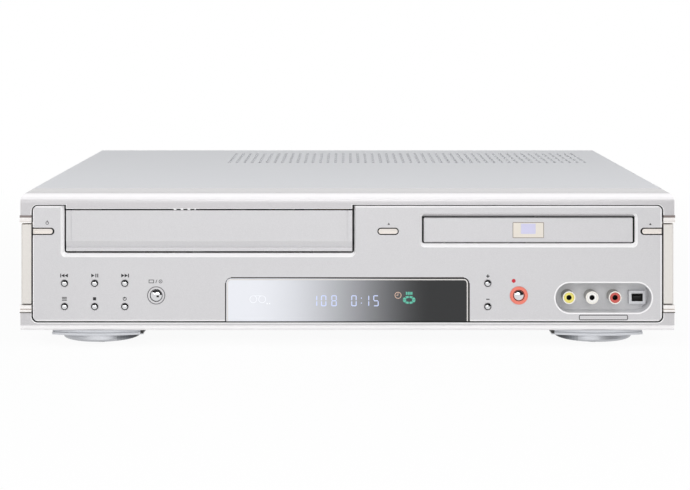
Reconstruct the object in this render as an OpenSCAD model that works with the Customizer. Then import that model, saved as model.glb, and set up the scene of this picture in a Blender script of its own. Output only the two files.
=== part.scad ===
// Disc recorder and cassette deck in one case.
// Front faces -Y, +Z is up, and the middle of the footprint on the table is the origin.

/* [Case] */
// Width over the front frame
body_w = 430; // [426:1:440]
// Height from the underside of the front lip to the top
body_h = 90.4; // [90.4:0.2:94]
// Depth from the front face to the back edge of the cover
body_d = 350; // [350:1:380]
// Height of the front lip above the table
foot_h = 11.8; // [10:0.2:14]
// Thickness of the sheet steel
sheet_t = 1; // [0.8:0.1:1.2]
// How far each side of the cover is set in from the frame's side
cover_inset = 1.5; // [1.5:0.1:2.5]
// Inside radius of the cover's bends
bend_r = 1.2; // [0.8:0.1:2]
// How far the sockets stand out of the back
socket_proud = 8; // [7:0.5:10]

/* [Front frame] */
// Depth of the moulded frame
frame_d = 30.6; // [28:0.2:36]
// Wall thickness of the frame
frame_wall = 2.2; // [2:0.1:2.6]
// Radius of the top front edge
frame_r = 6.5; // [4:0.5:7.5]
// Radius of the frame's upper corners, seen from the front
frame_corner = 4.5; // [3:0.5:5]
// Radius of the lip's lower edge
lip_r = 2.4; // [1:0.2:2.8]
// Width of the ledge behind the panel
ledge_w = 3; // [2:0.2:3.4]
// Thickness of the ledge
ledge_t = 2; // [1.6:0.2:2.4]
// Width and depth of the small step along both edges of the panel's seam
edge_step = 0.5; // [0.3:0.1:0.6]

/* [Front panel] */
// Width of the frame's side beside the panel
panel_side = 8; // [8:0.1:10]
// Height of the panel's lower edge above the lip's underside
panel_low = 5.9; // [5.5:0.1:6.5]
// Distance from the panel's upper edge to the top
panel_drop = 8.6; // [8.2:0.1:9]
// Corner radius of the panel
panel_r = 3.3; // [2:0.1:5]
// Thickness of the panel
panel_t = 2.5; // [2.2:0.1:2.8]
// How far the panel is set back from the frame's face
panel_set = 0.8; // [0.6:0.1:1.2]
// Width of the seam round the panel
seam = 0.8; // [0.4:0.1:1]

/* [Side pillars] */
// Width of each pillar
pillar_w = 6.8; // [6.2:0.1:7]
// Lower end of a pillar above the lip's underside
pillar_low = 17.6; // [17:0.2:20]
// Upper end of a pillar below the top
pillar_drop = 20.7; // [20:0.1:24]
// Depth of the pillars
pillar_d = 5.2; // [4:0.2:5.4]
// Height of the collars at the pillars' ends
collar_h = 5; // [3:0.2:5.4]
// Space between a pillar and its collar
collar_gap = 1; // [0.4:0.1:1.5]
// How far the collars stand proud of the frame
collar_proud = 0.4; // [0.2:0.1:0.8]

/* [Cassette flap] */
// Distance from the left side of the case to the flap
flap_in = 29.9; // [29.4:0.05:30.6]
// Width of the flap
flap_w = 188.3; // [188:0.1:189]
// Height of the flap
flap_h = 26.9; // [26.5:0.1:27.5]
// Distance from the flap's upper edge to the top
flap_drop = 11.5; // [11.4:0.1:11.8]
// Gap round the flap
flap_gap = 1.3; // [0.8:0.1:1.6]
// Thickness of the flap
flap_t = 2.5; // [2.2:0.1:2.8]
// Height of the hinge axis above the flap's upper edge
hinge_up = 4.3; // [4:0.1:4.6]
// Distance from the frame's face back to the hinge axis
hinge_in = 6.2; // [6:0.1:7]
// Radius of the hinge pins
hinge_r = 1.4; // [1.2:0.1:1.6]
// Running clearance round pins and shafts
running = 0.05; // [0.03:0.01:0.08]

/* [Disc tray] */
// Distance from the right side of the case to the tray's front
tray_in = 27.2; // [26.6:0.05:28.2]
// Width of the tray's front
tray_front_w = 137.5; // [137:0.1:138.5]
// Height of the tray's front
tray_front_h = 16.1; // [15.5:0.1:16.4]
// Distance from the middle of the tray's front to the top
tray_drop = 24.55; // [24.3:0.05:24.8]
// Length of the tray behind its front
tray_len = 170; // [168:1:176]
// Width of the tray's plate
tray_w = 127; // [126:0.5:127]
// Thickness of the tray's plate
tray_t = 8; // [7.6:0.1:8.2]
// Radius of the large disc recess
disc_r = 60.4; // [60.2:0.1:61]
// Radius of the small disc recess
small_disc_r = 40.4; // [40.2:0.1:42]
// Depth of the large recess
disc_depth = 2.6; // [2:0.1:3]
// Depth of the small recess below the large one
small_depth = 1; // [0.6:0.1:1.2]
// Travel of the tray
tray_travel = 140; // [134:1:140]
// Clearance between parts that slide
slide_gap = 0.3; // [0.25:0.05:0.4]

/* [Tray drive] */
// Module of the gears and the rack
gear_m = 1; // [1:0.05:1]
// Teeth of the gear that drives the rack
drive_teeth = 28; // [26:1:29]
// Teeth of the pinion on the belt pulley
pinion_teeth = 12; // [12:1:14]
// Thickness of the gears
gear_t = 3.8; // [3:0.2:4]
// Sideways play between two teeth
backlash = 0.16; // [0.1:0.02:0.24]
// Groove radius of the large belt pulley
pulley_r = 12; // [10:0.5:12]
// Groove radius of the motor's pulley
motor_pulley_r = 4; // [3.5:0.5:4.5]
// Thickness of the belt
belt_t = 1.2; // [0.8:0.1:1.2]
// Radius of the motor's case
motor_r = 12; // [10:0.5:12]

/* [Disc drive] */
// Slope of the lowered disc drive in degrees
drive_slope = 9; // [8.5:0.1:9.5]
// Distance from the turntable to the pivot of the drive
drive_arm = 71; // [70:0.5:73]
// Radius of the turntable
turntable_r = 15; // [13:0.5:15]
// Travel of the pickup
pickup_travel = 20; // [15:1:22]

/* [Cassette deck] */
// Width of a cassette
cassette_w = 188; // [187.8:0.1:188]
// Height of a cassette
cassette_h = 25; // [24.8:0.1:25.2]
// Length of the cassette holder
holder_len = 100; // [98:1:104]
// How far the holder travels into the deck
holder_in = 40; // [36:1:40]
// How far the holder is lowered onto the reels
holder_drop = 13; // [12:0.5:13.5]
// Height of the deck plate above the lip's underside
deck_up = 24; // [23.5:0.5:25]
// Thickness of the deck plate
deck_t = 1.5; // [1.2:0.1:2]
// Distance between the two reels
reel_pitch = 92; // [90:0.5:93]
// Radius of the head drum
drum_r = 31; // [30:0.5:31]
// Tilt of the head drum in degrees
drum_tilt = 5; // [3:0.5:6]

/* [Controls] */
// Distance from the left side of the case to the first column of round keys
key_in = 28.8; // [27:0.1:31]
// Distance between the columns of round keys
key_dx = 19.85; // [18:0.05:21]
// Lower row of round keys above the lip's underside
key_z = 15.5; // [14.5:0.1:16]
// Distance between the two rows of round keys
key_dz = 15.3; // [14:0.1:16]
// Radius of a round key's hole
key_hole_r = 2.3; // [2.2:0.05:2.6]
// Radius of a round key's cap
key_r = 1.7; // [1.5:0.05:1.9]
// How far the small round keys stand out of the panel
key_proud = 0.5; // [0.3:0.1:0.8]
// How far the selector and record keys stand out of the panel
round_proud = 1; // [0.6:0.1:1.2]
// Height of a round key's dome for each millimetre of its radius
key_dome = 0.35; // [0.2:0.05:0.5]
// Distance from the left side of the case to the selector key
select_in = 89.2; // [88:0.1:91]
// Radius of the selector's hole
select_hole_r = 4.2; // [4:0.1:4.5]
// Distance from the right side of the case to the channel keys
channel_in = 122.6; // [121:0.1:125]
// Distance from the right side of the case to the record key
record_in = 102.2; // [100:0.1:105]
// Height of the selector and record keys above the lip's underside
round_z = 22.9; // [22:0.1:24]
// Outer radius of the record ring
record_ring_r = 5.9; // [5.5:0.1:6.2]
// Inner radius of the record ring
record_hole_r = 3.8; // [3.6:0.1:4]
// Distance from the upper keys to the top
upper_drop = 25.3; // [25:0.1:26]
// Width of the upper keys' caps
bar_key_w = 12.6; // [12:0.1:12.8]
// Height of the upper keys' caps
bar_key_h = 3.3; // [3:0.1:3.7]
// Width of the gap round the upper keys
bar_key_gap = 0.75; // [0.4:0.05:0.8]
// Travel of every key
key_travel = 1; // [0.6:0.1:1]

/* [Display and front sockets] */
// Width of the display window
window_w = 159.4; // [150:0.2:162]
// Height of the display window
window_h = 28.2; // [27:0.2:29]
// Gap between the display window and the panel
window_gap = 0.5; // [0.2:0.1:0.6]
// Width of the socket bay
bay_w = 65.1; // [64:0.1:66]
// Height of the socket bay
bay_h = 21.4; // [20.6:0.1:22]
// Distance from the right side of the case to the middle of the socket bay
bay_in = 46.45; // [46:0.05:47]
// Height of the bay's middle above the lip's underside
bay_z = 21.3; // [21:0.1:22]
// Depth of the bay
bay_depth = 13; // [12:0.5:13]
// Width of the bay's wall
bay_wall = 0.9; // [0.8:0.1:1.2]
// Distance between the round sockets
jack_pitch = 15.2; // [14.5:0.1:15.5]
// Outer radius of a round socket
jack_r = 4.2; // [4:0.1:4.3]
// Radius of the hole for a plug's pin
plug_hole_r = 1.75; // [1.7:0.05:1.8]

/* [Vents and feet] */
// Columns of slots in the cover
vent_columns = 48; // [40:1:48]
// Rows of slots in the cover
vent_rows = 5; // [3:1:5]
// Distance between columns
vent_dx = 6; // [5:0.1:6]
// Distance between rows
vent_dy = 19; // [18:0.5:20]
// Length of a slot
slot_len = 13; // [10:0.5:14]
// Width of a slot
slot_w = 2.2; // [1.6:0.1:2.8]
// Distance from the side of the case to the middle of a foot
foot_in = 50; // [46:0.5:54]
// Width of a front foot's flange
foot_w = 60.2; // [54:0.2:64]
// Depth of a front foot's flange
foot_d = 54; // [53:1:60]
// Thickness of a front foot's flange
flange_t = 3.6; // [3:0.2:6]
// Radius of the metal bowl of a front foot
bowl_r = 25.8; // [22:0.2:26.2]
// Height of a bowl's rim above the floor
bowl_rim = 3.8; // [3.2:0.1:4.4]
// Radius of the rounding of a bowl's rim
bowl_edge = 1.6; // [1:0.1:2]
// Radius of the rubber pad under a bowl
pad_r = 5; // [4:0.5:8]

/* [Hidden] */
$fn = 48;
eps = 0.01;

// Main planes of the case
y_front = -(body_d + socket_proud - collar_proud) / 2;
y_back = y_front + body_d;
y_seam = y_front + frame_d;
z_lip = foot_h;
z_top = foot_h + body_h;
cover_x = body_w / 2 - cover_inset;
inner_x = cover_x - sheet_t;

// Front panel
y_panel = y_front + panel_set;
y_behind = y_panel + panel_t;
y_ledge = y_behind + ledge_t;
panel_x = body_w / 2 - panel_side;
z_panel = z_lip + panel_low;
z_panel_top = z_top - panel_drop;
border_d = 8;
y_board = y_front + 22;
board_t = 1.6;

// Pillars and collars
pillar_x = panel_x + seam;
z_pillar = z_lip + pillar_low;
z_pillar_top = z_top - pillar_drop;
collar_d = 6;

// Cassette flap
flap_x0 = -body_w / 2 + flap_in;
flap_x1 = flap_x0 + flap_w;
flap_x = (flap_x0 + flap_x1) / 2;
z_flap_top = z_top - flap_drop;
z_flap = z_flap_top - flap_h;
y_hinge = y_front + hinge_in;
z_hinge = z_flap_top + hinge_up;
ear_r = hinge_r + 0.8;
ear_t = 2.5;

// Cassette path
z_cassette = z_flap - 0.8;
holder_gap = 0.7;
holder_x = cassette_w / 2 + holder_gap;
y_holder = y_hinge + norm([flap_h + hinge_up, hinge_in - panel_set]) + 1.6;
slider_x = holder_x + sheet_t + slide_gap + 0.1;
slider_t = 1.2;
deck_side_x = slider_x + slider_t + slide_gap + 0.1;
z_deck = z_lip + deck_up;
y_deck = y_holder - 1;
holder_end = y_holder + holder_len + 4 + holder_in;
y_drum = holder_end + drum_r + 6;
deck_len = y_drum + drum_r + 12 - y_deck;
y_reel = y_holder + holder_in + 52;
pin_r = 1.5;
guide_y = [25, 79];
runner_y = [9, 93];
z_guide = z_cassette + cassette_h / 2;
z_runner = z_cassette + cassette_h - 1;
z_slider = z_cassette - 4;
z_slider_top = z_cassette + cassette_h + 5;

// Disc tray, its drive and the disc drive
tray_x1 = body_w / 2 - tray_in;
tray_x0 = tray_x1 - tray_front_w;
tray_x = (tray_x0 + tray_x1) / 2;
z_tray_mid = z_top - tray_drop;
z_tray = z_tray_mid - 3.35;
y_tray = y_front + 5.3;
rail_x = tray_w / 2 + 4.5;
loader_in_x = rail_x + slide_gap + 0.1;
loader_wall = 2;
y_loader = y_front + 10;
loader_len = 184;
y_step = y_front + 33;
z_shelf = z_tray - 12.5;
z_floor = z_tray - 20.5;
y_disc = y_tray + 8 + disc_r;
z_gear = z_tray - gear_t - slide_gap;
rack_pitch_x = tray_x - tray_w / 2 + 6.5;
drive_r = gear_m * drive_teeth / 2;
pinion_r = gear_m * pinion_teeth / 2;
drive_at = [rack_pitch_x + drive_r, y_front + 24];
pulley_at = [drive_at[0] + drive_r + pinion_r, drive_at[1]];
motor_at = [tray_x - 52, y_front + 62];
z_belt = z_shelf + 3;
belt_h = 2;
rack_teeth = floor((tray_len - 6) / (gear_m * PI));
y_rack = drive_at[1] - gear_m * PI * 5;
turn_level = z_tray + 5.7;
pivot_at = [y_disc + drive_arm, z_tray - 12];

// Display and sockets
z_window_top = z_panel + window_h;
bay_x = body_w / 2 - bay_in;
z_bay = z_lip + bay_z;
jack_x = [bay_x - 22.3, bay_x - 22.3 + jack_pitch, bay_x - 22.3 + 2 * jack_pitch];
z_jack = z_bay - 0.4;
dv_x = bay_x + 23.6;
z_upper = z_top - upper_drop;
z_round = z_lip + round_z;
standby_x = -panel_x + bar_key_w / 2 + 0.3;
open_x = panel_x - bar_key_w / 2 - 0.3;
eject_x = (flap_x1 + tray_x0) / 2;
key_x = -body_w / 2 + key_in;
select_x = -body_w / 2 + select_in;
channel_x = body_w / 2 - channel_in;
record_x = body_w / 2 - record_in;
round_keys = [for (row = [1, 0], i = [0:2]) [key_x + i * key_dx, z_lip + key_z + row * key_dz],
              for (row = [1, 0]) [channel_x, z_lip + key_z + row * key_dz]];
all_keys = concat(round_keys, [[select_x, z_round], [record_x, z_round], [eject_x, z_upper],
                               [standby_x + 3, z_upper], [open_x - 3, z_upper]]);
z_board_top = z_lip + 46;
boss_z = z_lip + 41;
boss_x = [-panel_x + 9, -100, 30, panel_x - 9];

// Case screws, feet and boards
side_screw_y = [y_front + 90, y_back - 60];
side_screw_z = z_lip + 10;
rear_screw_x = [-150, 0, 150];
rear_screw_z = z_top - 5.5;
screw_r = 1.75;
head_r = 3.5;
foot_x = body_w / 2 - foot_in;
y_foot = y_front + 0.8;
y_bowl = y_foot + 26.4;
bow_r = 96;
foot_rim = 1.5;
foot_groove = 0.5;
bowl_up = 0.3;
rear_foot_y = y_back - 45;
vent_x0 = -93.5;
vent_y0 = y_seam + 205;
z_board = z_lip + sheet_t + 8;
loader_leg_x = [tray_x - 66, tray_x + 66];
loader_leg_y = [y_step + 8, y_loader + loader_len - 8];
deck_leg_x = [flap_x - 88, flap_x + 88];
deck_leg_y = [y_deck + 8, y_deck + deck_len - 8];
power_box = [-inner_x + 7.5, 15, y_deck + deck_len + 8, y_back - 14];
main_box = [22, inner_x - 8.5, y_step + 10, y_back - 14];

// Disc drive, counted from its pivot
drive_front = -drive_arm - 22;
rod_x = 22;
rod_z = 7.6;
sled_y = -drive_arm + 19;
sled_len = 22;
turn_z = turn_level - pivot_at[1];

// Capstan, pinch roller and head drum
y_capstan = holder_end + 4;
capstan_x = flap_x + 60;
roller_r = 7;
z_arm = z_deck + 6;
z_roller = z_arm + 2.4 + slide_gap;
roller_at = [capstan_x, y_capstan + 2 + roller_r + 3];
arm_at = [roller_at[0] + 21, roller_at[1]];
drum_low = 5;
drum_mid = 22;
drum_high = 38;

// Places on the back, seen from the front
scart_at = [[112, z_lip + 61], [112, z_lip + 35]];
rear_jack_x = [30, 44];
rear_jack_z = [z_lip + 58, z_lip + 36];
svideo_at = [62, z_lip + 22];
aerial_at = [[-40, z_lip + 60], [-40, z_lip + 38]];
inlet_at = [-178, z_lip + 26];
scart_w = 50;
scart_h = 16;
inlet_w = 24;
inlet_h = 15;

// A box between two corners
module box(x0, x1, y0, y1, z0, z1) {
  translate([x0, y0, z0]) cube([x1 - x0, y1 - y0, z1 - z0]);
}

// A slab between two depths, from an outline in X and Z
module slab_y(y0, y1) {
  translate([0, y1, 0]) rotate([90, 0, 0]) linear_extrude(y1 - y0) children();
}

// A slab between two sides, from an outline in Y and Z
module slab_x(x0, x1) {
  translate([x0, 0, 0]) rotate([90, 0, 90]) linear_extrude(x1 - x0) children();
}

// A slab between two heights, from an outline in X and Y
module slab_z(z0, z1) {
  translate([0, 0, z0]) linear_extrude(z1 - z0) children();
}

// A round bar along Y
module bar_y(x, z, r, y0, y1) {
  translate([x, y1, z]) rotate([90, 0, 0]) cylinder(r = r, h = y1 - y0);
}

// A round bar along X
module bar_x(y, z, r, x0, x1) {
  translate([x0, y, z]) rotate([0, 90, 0]) cylinder(r = r, h = x1 - x0);
}

// A round bar along Z
module bar_z(x, y, r, z0, z1) {
  translate([x, y, z0]) cylinder(r = r, h = z1 - z0);
}

// A flat rectangle between two corners
module rect(x0, x1, y0, y1) {
  translate([x0, y0]) square([x1 - x0, y1 - y0]);
}

// A flat rectangle with round corners
module round_rect(x0, x1, y0, y1, r) {
  rect(x0 + r, x1 - r, y0, y1);
  rect(x0, x1, y0 + r, y1 - r);
  for (x = [x0 + r, x1 - r], y = [y0 + r, y1 - r]) translate([x, y]) circle(r = r);
}

// A flat rectangle with half-round ends, by its middle
module pill(x, y, w, h) {
  rect(x - (w - h) / 2, x + (w - h) / 2, y - h / 2, y + h / 2);
  for (s = [-1, 1]) translate([x + s * (w - h) / 2, y]) circle(d = h);
}

// Side outline of a front moulding with a round top edge and a round bottom edge
module nose_profile(y0, y1, z0, z1, r1, r0) {
  rect(y0 + r1, y1, z0, z1);
  rect(y0, y0 + r1, z0 + r0, z1 - r1);
  rect(y0 + r0, y0 + r1, z0, z0 + r0);
  translate([y0 + r1, z1 - r1]) circle(r = r1);
  translate([y0 + r0, z0 + r0]) circle(r = r0);
}

module bottom_chassis() {
  side = inner_x - 0.1;
  z0 = z_lip;
  z1 = z_lip + sheet_t;
  color("silver")
    difference() {
      union() {
        box(-side, side, y_seam, y_back - sheet_t - 1.2, z0, z1);
        for (s = [-1, 1])
          slab_x(s * side - (s > 0 ? sheet_t : 0), s * side + (s > 0 ? 0 : sheet_t))
            rect(y_seam + 8, y_back - sheet_t - 1.2, z0, z1 + 16);
        box(-side + 12, side - 12, y_seam, y_seam + sheet_t, z0, z1 + 6);
        for (x = deck_leg_x, y = deck_leg_y) bar_z(x, y, 4, z1 - eps, z_deck - deck_t);
        for (x = loader_leg_x, y = loader_leg_y) bar_z(x, y, 3.5, z1 - eps, z_floor - 2);
        for (b = [power_box, main_box], x = [b[0] + 8, b[1] - 8], y = [b[2] + 6, b[3] - 6])
          bar_z(x, y, 3, z1 - eps, z_board);
      }
      for (s = [-1, 1], y = side_screw_y)
        bar_x(y, side_screw_z, screw_r, s * side - 3, s * side + 3);
      for (i = [0:11], x = [-120, 110])
        translate([x + 6 * i - 33, y_seam + 150, z0 - 1]) cube([2.4, 40, sheet_t + 2]);
    }
}

module vent_slot() {
  a = slot_w / 2;
  b = slot_len / 2;
  c = slot_w * 0.29;
  polygon([[-a, -b + c], [-a + c, -b], [a - c, -b], [a, -b + c],
           [a, b - c], [a - c, b], [-a + c, b], [-a, b - c]]);
}

module cover_profile(x, z, r) {
  rect(-x, x, z_lip - 20, z - r);
  rect(-x + r, x - r, z - r - 1, z);
  for (s = [-1, 1]) translate([s * (x - r), z - r]) circle(r = r);
}

module top_cover() {
  color("gainsboro")
    difference() {
      slab_y(y_seam, y_back) cover_profile(cover_x, z_top, bend_r + sheet_t);
      slab_y(y_seam - 1, y_back - sheet_t) cover_profile(inner_x, z_top - sheet_t, bend_r);
      box(-cover_x + 14, cover_x - 14, y_back - sheet_t - 1, y_back + 1, z_lip - 30, z_top - 11);
      box(-inner_x, inner_x, y_back - sheet_t - 1, y_back + 1, z_lip - 30, z_lip + 8);
      box(-cover_x - 1, cover_x + 1, y_seam - 1, y_back + 1, z_lip - 30, z_lip + 0.6);
      translate([0, 0, z_top - 3])
        linear_extrude(6)
          for (i = [0:vent_columns - 1], j = [0:vent_rows - 1])
            translate([vent_x0 + i * vent_dx, vent_y0 + j * vent_dy]) vent_slot();
      for (s = [-1, 1], y = side_screw_y)
        bar_x(y, side_screw_z, screw_r, s * cover_x - 4, s * cover_x + 4);
      for (x = rear_screw_x) bar_y(x, rear_screw_z, screw_r, y_back - 4, y_back + 2);
    }
}

module rear_panel() {
  y0 = y_back - sheet_t - 1.2;
  color("lightgray")
    difference() {
      slab_y(y0, y0 + sheet_t)
        round_rect(-inner_x + 0.1, inner_x - 0.1, z_lip + 0.6, z_top - sheet_t - 0.2, bend_r);
      for (p = scart_at)
        box(p[0] - scart_w / 2, p[0] + scart_w / 2, y0 - 1, y0 + 3, p[1] - scart_h / 2, p[1] + scart_h / 2);
      for (x = rear_jack_x, z = rear_jack_z) bar_y(x, z, 5, y0 - 1, y0 + 3);
      bar_y(svideo_at[0], svideo_at[1], 6, y0 - 1, y0 + 3);
      for (p = aerial_at) bar_y(p[0], p[1], 6.2, y0 - 1, y0 + 3);
      box(inlet_at[0] - inlet_w / 2, inlet_at[0] + inlet_w / 2, y0 - 1, y0 + 3,
          inlet_at[1] - inlet_h / 2, inlet_at[1] + inlet_h / 2);
      for (x = rear_screw_x) bar_y(x, rear_screw_z, screw_r, y0 - 1, y0 + 3);
      for (i = [0:13], z = [z_lip + 30, z_lip + 52])
        box(-150 + 6 * i, -147.6 + 6 * i, y0 - 1, y0 + 3, z, z + 16);
    }
}

// A pan-head screw along +Z with a cross recess, its head's seat at the origin
module screw(len) {
  difference() {
    union() {
      cylinder(r = head_r, h = 1.5);
      translate([0, 0, -len]) cylinder(r = screw_r - 0.05, h = len + eps);
    }
    for (a = [0, 90]) rotate([0, 0, a]) translate([-1.6, -0.3, 0.6]) cube([3.2, 0.6, 2]);
  }
}

module case_screws() {
  color("darkgray") {
    for (s = [-1, 1], y = side_screw_y)
      translate([s * cover_x, y, side_screw_z]) rotate([0, s * 90, 0]) screw(4);
    for (x = rear_screw_x) translate([x, y_back, rear_screw_z]) rotate([-90, 0, 0]) screw(4);
  }
}

// The part of the frame that comes down behind the flap's upper edge
module flap_tab(grow) {
  rect(flap_x0 - grow, flap_x1 + grow, z_flap_top + 1 - grow, z_top);
}

module hinge_bracket(s) {
  x0 = s > 0 ? flap_x1 + 0.4 : flap_x0 - 2.9;
  difference() {
    slab_x(x0, x0 + 2.5) rect(y_behind + 0.3, y_hinge + 3, z_hinge - 3, z_top - frame_wall + 0.3);
    bar_x(y_hinge, z_hinge, hinge_r + running, x0 - 1, x0 + 4);
  }
}

module front_frame() {
  x1 = body_w / 2;
  color("whitesmoke") {
    difference() {
      union() {
        difference() {
          intersection() {
            slab_x(-x1, x1) nose_profile(y_front, y_seam, z_lip, z_top, frame_r, lip_r);
            slab_y(y_front - 1, y_seam + 1) cover_profile(x1, z_top, frame_corner);
          }
          box(-x1 + frame_wall, x1 - frame_wall, y_ledge, y_seam + 1, z_lip + frame_wall, z_top - frame_wall);
        }
        for (s = [-1, 1])
          box(s * (x1 - 5.6) - 5.4, s * (x1 - 5.6) + 5.4, y_ledge - eps, y_front + border_d,
              z_lip + 1, z_top - frame_corner);
        difference() {
          union() {
            slab_y(y_seam - 5, y_seam + 6) cover_profile(inner_x - 0.1, z_top - sheet_t - 0.1, bend_r);
            slab_y(y_seam - 5, y_seam)
              cover_profile(x1 - frame_wall + 0.3, z_top - frame_wall + 0.3, bend_r);
          }
          slab_y(y_seam - 6, y_seam + 7) cover_profile(inner_x - 1.3, z_top - sheet_t - 1.3, 0.6);
          box(-x1, x1, y_seam - 6, y_seam + 7, z_lip - 30, z_lip + 20);
        }
      }
      // opening for the panel
      slab_y(y_front - 1, y_behind)
        difference() {
          round_rect(-panel_x - seam, panel_x + seam, z_panel - seam, z_panel_top + seam, panel_r + seam);
          flap_tab(0);
        }
      slab_y(y_front - 1, y_front + edge_step)
        difference() {
          round_rect(-panel_x - seam - edge_step, panel_x + seam + edge_step,
                     z_panel - seam - edge_step, z_panel_top + seam + edge_step, panel_r + seam + edge_step);
          flap_tab(-edge_step);
        }
      // room inside the ledge, and above the flap for its ears
      box(-panel_x + ledge_w, panel_x - ledge_w, y_behind - eps, y_front + border_d + 1,
          z_panel + 2, z_panel_top - ledge_w);
      box(flap_x0 - 3.4, flap_x1 + 3.4, y_behind - eps, y_ledge + 1, z_flap - 4, z_top - frame_wall);
      // room for the end keys
      for (s = [-1, 1])
        box(s * (panel_x - 4) - 4.2, s * (panel_x - 4) + 4.2, y_behind - eps, y_ledge + 1,
            z_upper - 3.4, z_upper + 3.4);
      // pockets for the pillars and the collars
      for (s = [-1, 1]) {
        box(s * (x1 + pillar_x) / 2 - 4 + s * 0.15, s * (x1 + pillar_x) / 2 + 4 + s * 0.15,
            y_front - 1, y_front + pillar_d + 0.3, z_pillar - collar_gap, z_pillar_top + collar_gap);
        for (z = [z_pillar - collar_gap - collar_h, z_pillar_top + collar_gap])
          box(s * (x1 + pillar_x) / 2 - 4 + s * 0.15, s * (x1 + pillar_x) / 2 + 4 + s * 0.15,
              y_front - 1, y_front + collar_d, z, z + collar_h);
      }
      // line in the lip
      box(-x1 - 1, x1 + 1, y_front - 1, y_front + 0.5, z_lip + 2.8, z_lip + 3.3);
    }
    for (s = [-1, 1]) hinge_bracket(s);
  }
}

module side_pillars() {
  color("linen")
    for (s = [-1, 1])
      intersection() {
        slab_z(z_pillar, z_pillar_top)
          mirror([s > 0 ? 0 : 1, 0, 0])
            union() {
              rect(pillar_x + 0.15, pillar_x + pillar_w, y_front + 1.7, y_front + pillar_d + 0.3);
              rect(pillar_x + 0.15, pillar_x + pillar_w - 1.5, y_front + 0.2, y_front + 2);
              translate([pillar_x + pillar_w - 1.5, y_front + 1.7]) circle(r = 1.5);
            }
        box(-body_w, body_w, y_front, y_front + 20, z_pillar, z_pillar_top);
      }
}

// One collar: a band round the frame's corner with a raised bead
module collar(s, z) {
  x0 = s * (body_w / 2 + collar_proud + pillar_x) / 2;
  half = (body_w / 2 + collar_proud - pillar_x) / 2;
  box(x0 - half, x0 + half, y_front - collar_proud, y_front + collar_d, z, z + collar_h * 0.42);
  box(x0 - half, x0 + half, y_front - collar_proud, y_front + collar_d, z + collar_h * 0.56, z + collar_h);
  box(x0 - half + (s > 0 ? 0 : 0.4), x0 + half - (s > 0 ? 0.4 : 0), y_front, y_front + collar_d,
      z + collar_h * 0.42 - eps, z + collar_h * 0.56 + eps);
}

module pillar_collars() {
  color("antiquewhite")
    for (s = [-1, 1], z = [z_pillar - collar_gap - collar_h, z_pillar_top + collar_gap]) collar(s, z);
}

module rim_cut(x0, x1, z0, z1, r, left, right, down, up) {
  hull() {
    slab_y(y_panel - 0.02, y_panel - eps) round_rect(x0 - left, x1 + right, z0 - down, z1 + up, r + 1.4);
    slab_y(y_panel + 1.6, y_panel + 1.62) round_rect(x0, x1, z0, z1, r);
  }
}

module panel_window(grow) {
  difference() {
    round_rect(-window_w / 2 - grow, window_w / 2 + grow, z_panel - 8, z_window_top + grow, 3.2 + grow);
    rect(-window_w, window_w, z_panel - 20, z_panel - 1);
  }
}

// A layer of the panel, with its edges drawn in by a step
module panel_layer(y0, y1, step) {
  slab_y(y0, y1)
    difference() {
      round_rect(-panel_x + step, panel_x - step, z_panel + step, z_panel_top - step, panel_r - step);
      flap_tab(seam + step);
    }
}

module front_panel() {
  slot_top = z_flap_top + 1;
  color("lightgray") {
    difference() {
      union() {
        panel_layer(y_panel, y_panel + edge_step + eps, edge_step);
        panel_layer(y_panel + edge_step, y_behind, 0);
      }
      // cassette slot with its sloping rim
      slab_y(y_panel - 1, y_behind + 1)
        round_rect(flap_x0 - flap_gap, flap_x1 + flap_gap, z_flap - flap_gap, z_top + 20, 2);
      rim_cut(flap_x0 - flap_gap, flap_x1 + flap_gap, z_flap - flap_gap, slot_top + 20, 2, 2.4, 0.8, 2.7, 0);
      // tray slot with its sloping rim
      slab_y(y_panel - 1, y_behind + 1)
        round_rect(tray_x0 - 1.2, tray_x1 + 1.4,
                   z_tray_mid - tray_front_h / 2 - 0.8, z_tray_mid + tray_front_h / 2 + 2, 1.6);
      rim_cut(tray_x0 - 1.2, tray_x1 + 1.4,
              z_tray_mid - tray_front_h / 2 - 0.8, z_tray_mid + tray_front_h / 2 + 2, 1.6, 1.4, 1.9, 2.6, 1.4);
      slab_y(y_panel - 1, y_behind + 1) panel_window(window_gap);
      slab_y(y_panel - 1, y_behind + 1) pill(bay_x, z_bay, bay_w + 0.1, bay_h + 0.1);
      // round keys
      for (k = round_keys) {
        bar_y(k[0], k[1], key_hole_r, y_panel - 1, y_behind + 1);
        translate([k[0], y_panel + 0.4, k[1]]) rotate([90, 0, 0])
          cylinder(r1 = key_hole_r, r2 = key_hole_r + 0.5, h = 0.41);
      }
      bar_y(select_x, z_round, select_hole_r, y_panel - 1, y_behind + 1);
      translate([select_x, y_panel + 0.5, z_round]) rotate([90, 0, 0])
        difference() {
          cylinder(r = select_hole_r + 1.75, h = 1);
          translate([0, 0, -1]) cylinder(r = select_hole_r + 1.2, h = 3);
        }
      bar_y(record_x, z_round, record_ring_r + 0.1, y_panel - 1, y_panel + 1.5);
      bar_y(record_x, z_round, record_hole_r, y_panel - 1, y_behind + 1);
      // bar keys
      slab_y(y_panel - 1, y_behind + 1)
        pill(eject_x, z_upper, bar_key_w + 2 * bar_key_gap, bar_key_h + 2 * bar_key_gap);
      for (s = [-1, 1])
        slab_y(y_panel - 1, y_behind + 1) {
          x = s > 0 ? open_x : standby_x;
          w = bar_key_w + 2 * bar_key_gap;
          h = bar_key_h + 2 * bar_key_gap;
          pill(x - s * 0.6, z_upper, w, h);
          rect(x - (s > 0 ? 0 : w), x + (s > 0 ? w : 0), z_upper - h / 2, z_upper + h / 2);
        }
    }
    for (x = boss_x) bar_y(x, boss_z, 3, y_behind - eps, y_board);
  }
}

module window_pane(z) {
  intersection() {
    panel_window(0);
    rect(-window_w, window_w, z, z_top);
  }
}

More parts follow.
